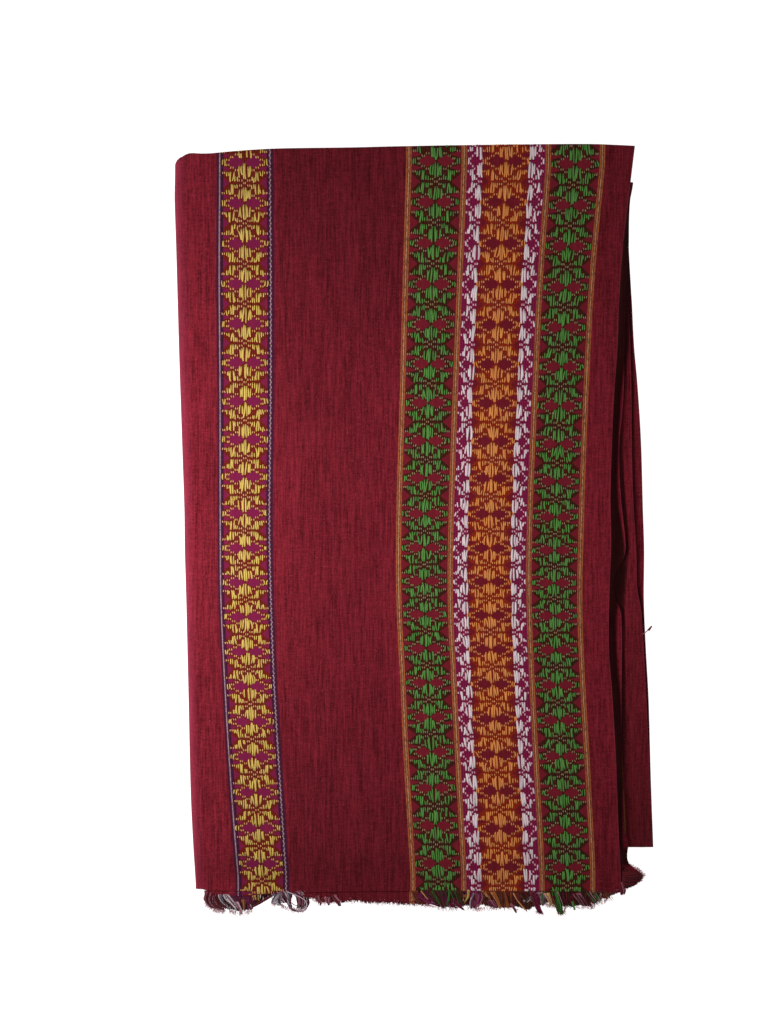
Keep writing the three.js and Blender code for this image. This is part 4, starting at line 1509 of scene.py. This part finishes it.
# Fine fibres as (count, angle that they point to, height, line)
UPPER_FUZZ = (
    (70, -125, 2.5, ((204, 898), (207, 906), (214, 911), (224, 913))),
    (40, -90, 2.5, ((229, 912), (240, 915), (252, 912))),
    (60, -95, 2.5, ((271, 905), (282, 907), (290, 910), (300, 912), (308, 908))),
    (34, -80, 7.2, ((425, 905), (443, 909), (460, 909))),
    (60, -80, 2.0, ((468, 909), (480, 910), (500, 909), (530, 912))),
    (14, -70, 2.0, ((536, 913), (544, 915))),
    (24, -85, 2.0, ((546, 906), (555, 907))),
    (90, -60, 2.0, ((558, 915), (564, 914), (566, 908), (590, 909), (600, 904), (613, 899))),
)
SECOND_FUZZ = (
    (50, 40, 3.0, ((629, 866), (636, 870), (641, 873))),
    (45, 0, 2.5, ((640, 873), (644, 876), (641, 880))),
    (60, -50, 2.5, ((641, 880), (634, 884), (626, 888))),
)
FRAYED_CORNER = (
    ((622, 872), (626, 870), (630, 869.5), (633.5, 869.5)),
    ((623, 875), (629, 874), (635, 873.5), (640.5, 873.5)),
    ((623, 878), (630, 877.5), (637, 877), (643.5, 876.5)),
    ((623, 881), (629, 881.5), (636, 881.5), (642.5, 880.5)),
    ((622, 884), (626, 885.5), (631.5, 886), (637, 884.5)),
    ((621, 886), (623, 887.5), (626, 888.5), (628.5, 888.5)),
)


def edge_height(ply):
    """Function that gives the height of a ply, also past its end"""
    def read(x, y):
        return float(ply_top(ply, np.array(x), np.array(max(y, float(bottom_at(x))))))
    return read


def short_ends(basket, height_at, count, span, line, bend, lengths, leans, names, floor):
    """Short loose ends along a line of the cloth, between two places u"""
    for _ in range(count):
        u = random.uniform(*span)
        v = PHOTO_MIDDLE[1] - float(line(u - PHOTO_MIDDLE[0]))
        length = random.uniform(*lengths)
        lean = random.uniform(*leans)
        guide = ((u, v - 1.5), (u + lean * 0.4, v + length * bend), (u + lean, v + length))
        tuft(basket, height_at, (guide,), 4, names, THIN_YARN, floor=floor)


def upper_yarns(material):
    basket = YarnBasket()
    for row in TUFTS:
        tuft(basket, edge_height("a"), **row)
    for name, radius, places in CURLED:
        path = smooth_path(from_photo(places), 1.0, 5 * len(places))
        t = np.linspace(0, 1, len(path))
        on_second = ON_SECOND[0] < places[0][0] < ON_SECOND[1]
        low = CURL_LOW_ON_SECOND if on_second else CURL_LOW
        z = low + (CURL_HIGH - low) * np.clip(1 - 1.2 * t, 0, 1) ** 1.5
        basket.add(np.column_stack([path, z]), radius, name, 0.8)
    hem_path = np.column_stack([from_photo(HEM_THREAD), np.linspace(6.5, 2.0, len(HEM_THREAD))])
    basket.add(hem_path, 0.9, "purple", 1.0)
    basket.add(hem_path + (-0.4, 1.3, 0.5), 0.5, "brown", 1.0)
    for count, out, height, places in UPPER_FUZZ:
        fuzz(basket, places, count, out, height)
    return basket.object("upper_yarns", material)


def second_yarns(material):
    basket = YarnBasket()
    height = edge_height("d")
    short_ends(
        basket, height, count=150, span=(300, 428), line=second_end_at, bend=0, lengths=(0.8, 2.6),
        leans=(-0.6, 1.4), names=("maroon", "dark", "maroon", "dark", "pink"), floor=2.5,
    )
    fuzz(basket, ((312, 899), (322, 903), (345, 901), (375, 903), (403, 905), (425, 905)), 110, -85, 5.4)
    tuft(
        basket, lambda x, y: height(x, y) + CORNER_LIFT, FRAYED_CORNER, 300,
        ("dark", "maroon", "dark", "maroon"), width=THIN_YARN, ragged=0.06, floor=4.4,
    )
    for count, out, fuzz_height, places in SECOND_FUZZ:
        fuzz(basket, places, count, out, fuzz_height)
    return basket.object("second_yarns", material)


def lower_yarns(material):
    basket = YarnBasket()
    short_ends(
        basket, lambda x, y: LOWER_ENDS_TOP, count=110, span=(216, 596),
        line=lambda x: bottom_at(x) + LOWER_ENDS_BACK, bend=0.5, lengths=(3.0, 6.0), leans=(-1, 2),
        names=("maroon", "dark", "dark", "brown"), floor=0.5,
    )
    return basket.object("lower_yarns", material)


def stray_thread(material):
    basket = YarnBasket()
    path = ((227.5, -105.0, 4.2), (231.0, -102.8, 4.8), (233.4, -100.6, 5.4), (236.0, -98.0, 5.0))
    basket.add(path, 0.42, "pink", 1.5)
    knot = ((234.0, -100.4, 5.4), (235.6, -98.6, 5.2), (236.9, -97.0, 4.8), (237.4, -96.0, 4.4))
    basket.add(knot, 1.4, "maroon", 0.6)
    return basket.object("stray_thread", material)


cotton = cloth_finish()
yarn = yarn_finish()
finishes = {name: float_finish(f"{name}_floats", row) for name, row in FLOAT_COLOURS.items()}

upper = upper_cloth(cotton)
second = second_cloth(cotton)
inner = inner_cloth(cotton)
core = core_cloth(cotton)
under = under_cloth(cotton)

white_runs = runs_of(SIDE_COLUMNS, BANDS["orange"]["middle"] - SIDE_START, -SIDE_PITCH, "orange")
white_runs += runs_of(SIDE_COLUMNS, BANDS["orange"]["middle"] + SIDE_START, SIDE_PITCH, "orange")
figures = [
    floats("floats_yellow", band_runs("yellow"), finishes["yellow"]),
    floats("floats_green", band_runs("green_left") + band_runs("green_right"), finishes["green"]),
    floats("floats_orange", band_runs("orange"), finishes["orange"]),
    floats("floats_white", white_runs, finishes["white"], WHITE_WIDTH),
]

upper_ends = upper_yarns(yarn)
second_ends = second_yarns(yarn)
lower_ends = lower_yarns(yarn)
stray = stray_thread(yarn)

for piece, node, slot in (
    (upper, "upper_stretch", "cloth"),
    (second, "second_ply", "cloth"),
    (inner, "inner_fold", "cloth"),
    (core, "core_layers", "inner_cloth"),
    (under, "under_stretch", "cloth"),
    (upper_ends, "upper_fringe", "fringe"),
    (second_ends, "second_fringe", "fringe"),
    (lower_ends, "lower_fringe", "fringe"),
):
    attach(piece, "root")
    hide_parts(node)
for piece in figures:
    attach(piece, "root")
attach(stray, "root")

# Floor, light and camera. The camera and the light are in metres.
FLOOR_REACH = 4000
FLOOR_HEIGHT = -0.4
KEY_PLACE = (-0.40, 0.01, 0.46)
KEY_TARGET = (-0.22, 0.01, 0)
KEY_SIZE = 0.30
KEY_POWER = 2.45
SENSOR = 36
DISTANCE = 3.0
PICTURE_HEIGHT = 1.024
PICTURE_MIDDLE = (-0.0305, 0.018)
CLOTH_TOP = 0.010

floor_finish = Finish("pale_floor", 0.9, 0.0)
floor_finish.shader.inputs["Base Color"].default_value = FLOOR
floor_finish.shader.inputs["Emission Color"].default_value = (1, 1, 1, 1)
floor_finish.shader.inputs["Emission Strength"].default_value = 0.95
signs = ((-1, -1), (1, -1), (1, 1), (-1, 1))
floor_points = [(x * FLOOR_REACH, y * FLOOR_REACH, FLOOR_HEIGHT) for x, y in signs]
floor = object_of("floor", floor_points, [(0, 1, 2, 3)], floor_finish.material)

world = bpy.data.worlds.new("studio")
bpy.context.scene.world = world
world.use_nodes = True
world.node_tree.nodes["Background"].inputs["Color"].default_value = (1, 1, 1, 1)
world.node_tree.nodes["Background"].inputs["Strength"].default_value = 0.34

light_data = bpy.data.lights.new("key", "AREA")
light_data.shape = "DISK"
light_data.size = KEY_SIZE
light_data.energy = KEY_POWER
light = bpy.data.objects.new("key", light_data)
bpy.context.scene.collection.objects.link(light)
light.location = KEY_PLACE
direction = Vector(KEY_TARGET) - Vector(KEY_PLACE)
light.rotation_euler = direction.to_track_quat("-Z", "Y").to_euler()
light.visible_camera = False

camera_data = bpy.data.cameras.new("camera")
camera_data.sensor_fit = "AUTO"
camera_data.sensor_width = SENSOR
camera_data.lens = SENSOR * DISTANCE / PICTURE_HEIGHT
camera_data.clip_end = 20
camera = bpy.data.objects.new("camera", camera_data)
bpy.context.scene.collection.objects.link(camera)
camera.location = (*PICTURE_MIDDLE, DISTANCE + CLOTH_TOP)
bpy.context.scene.camera = camera
bpy.context.scene.view_settings.view_transform = "Standard"
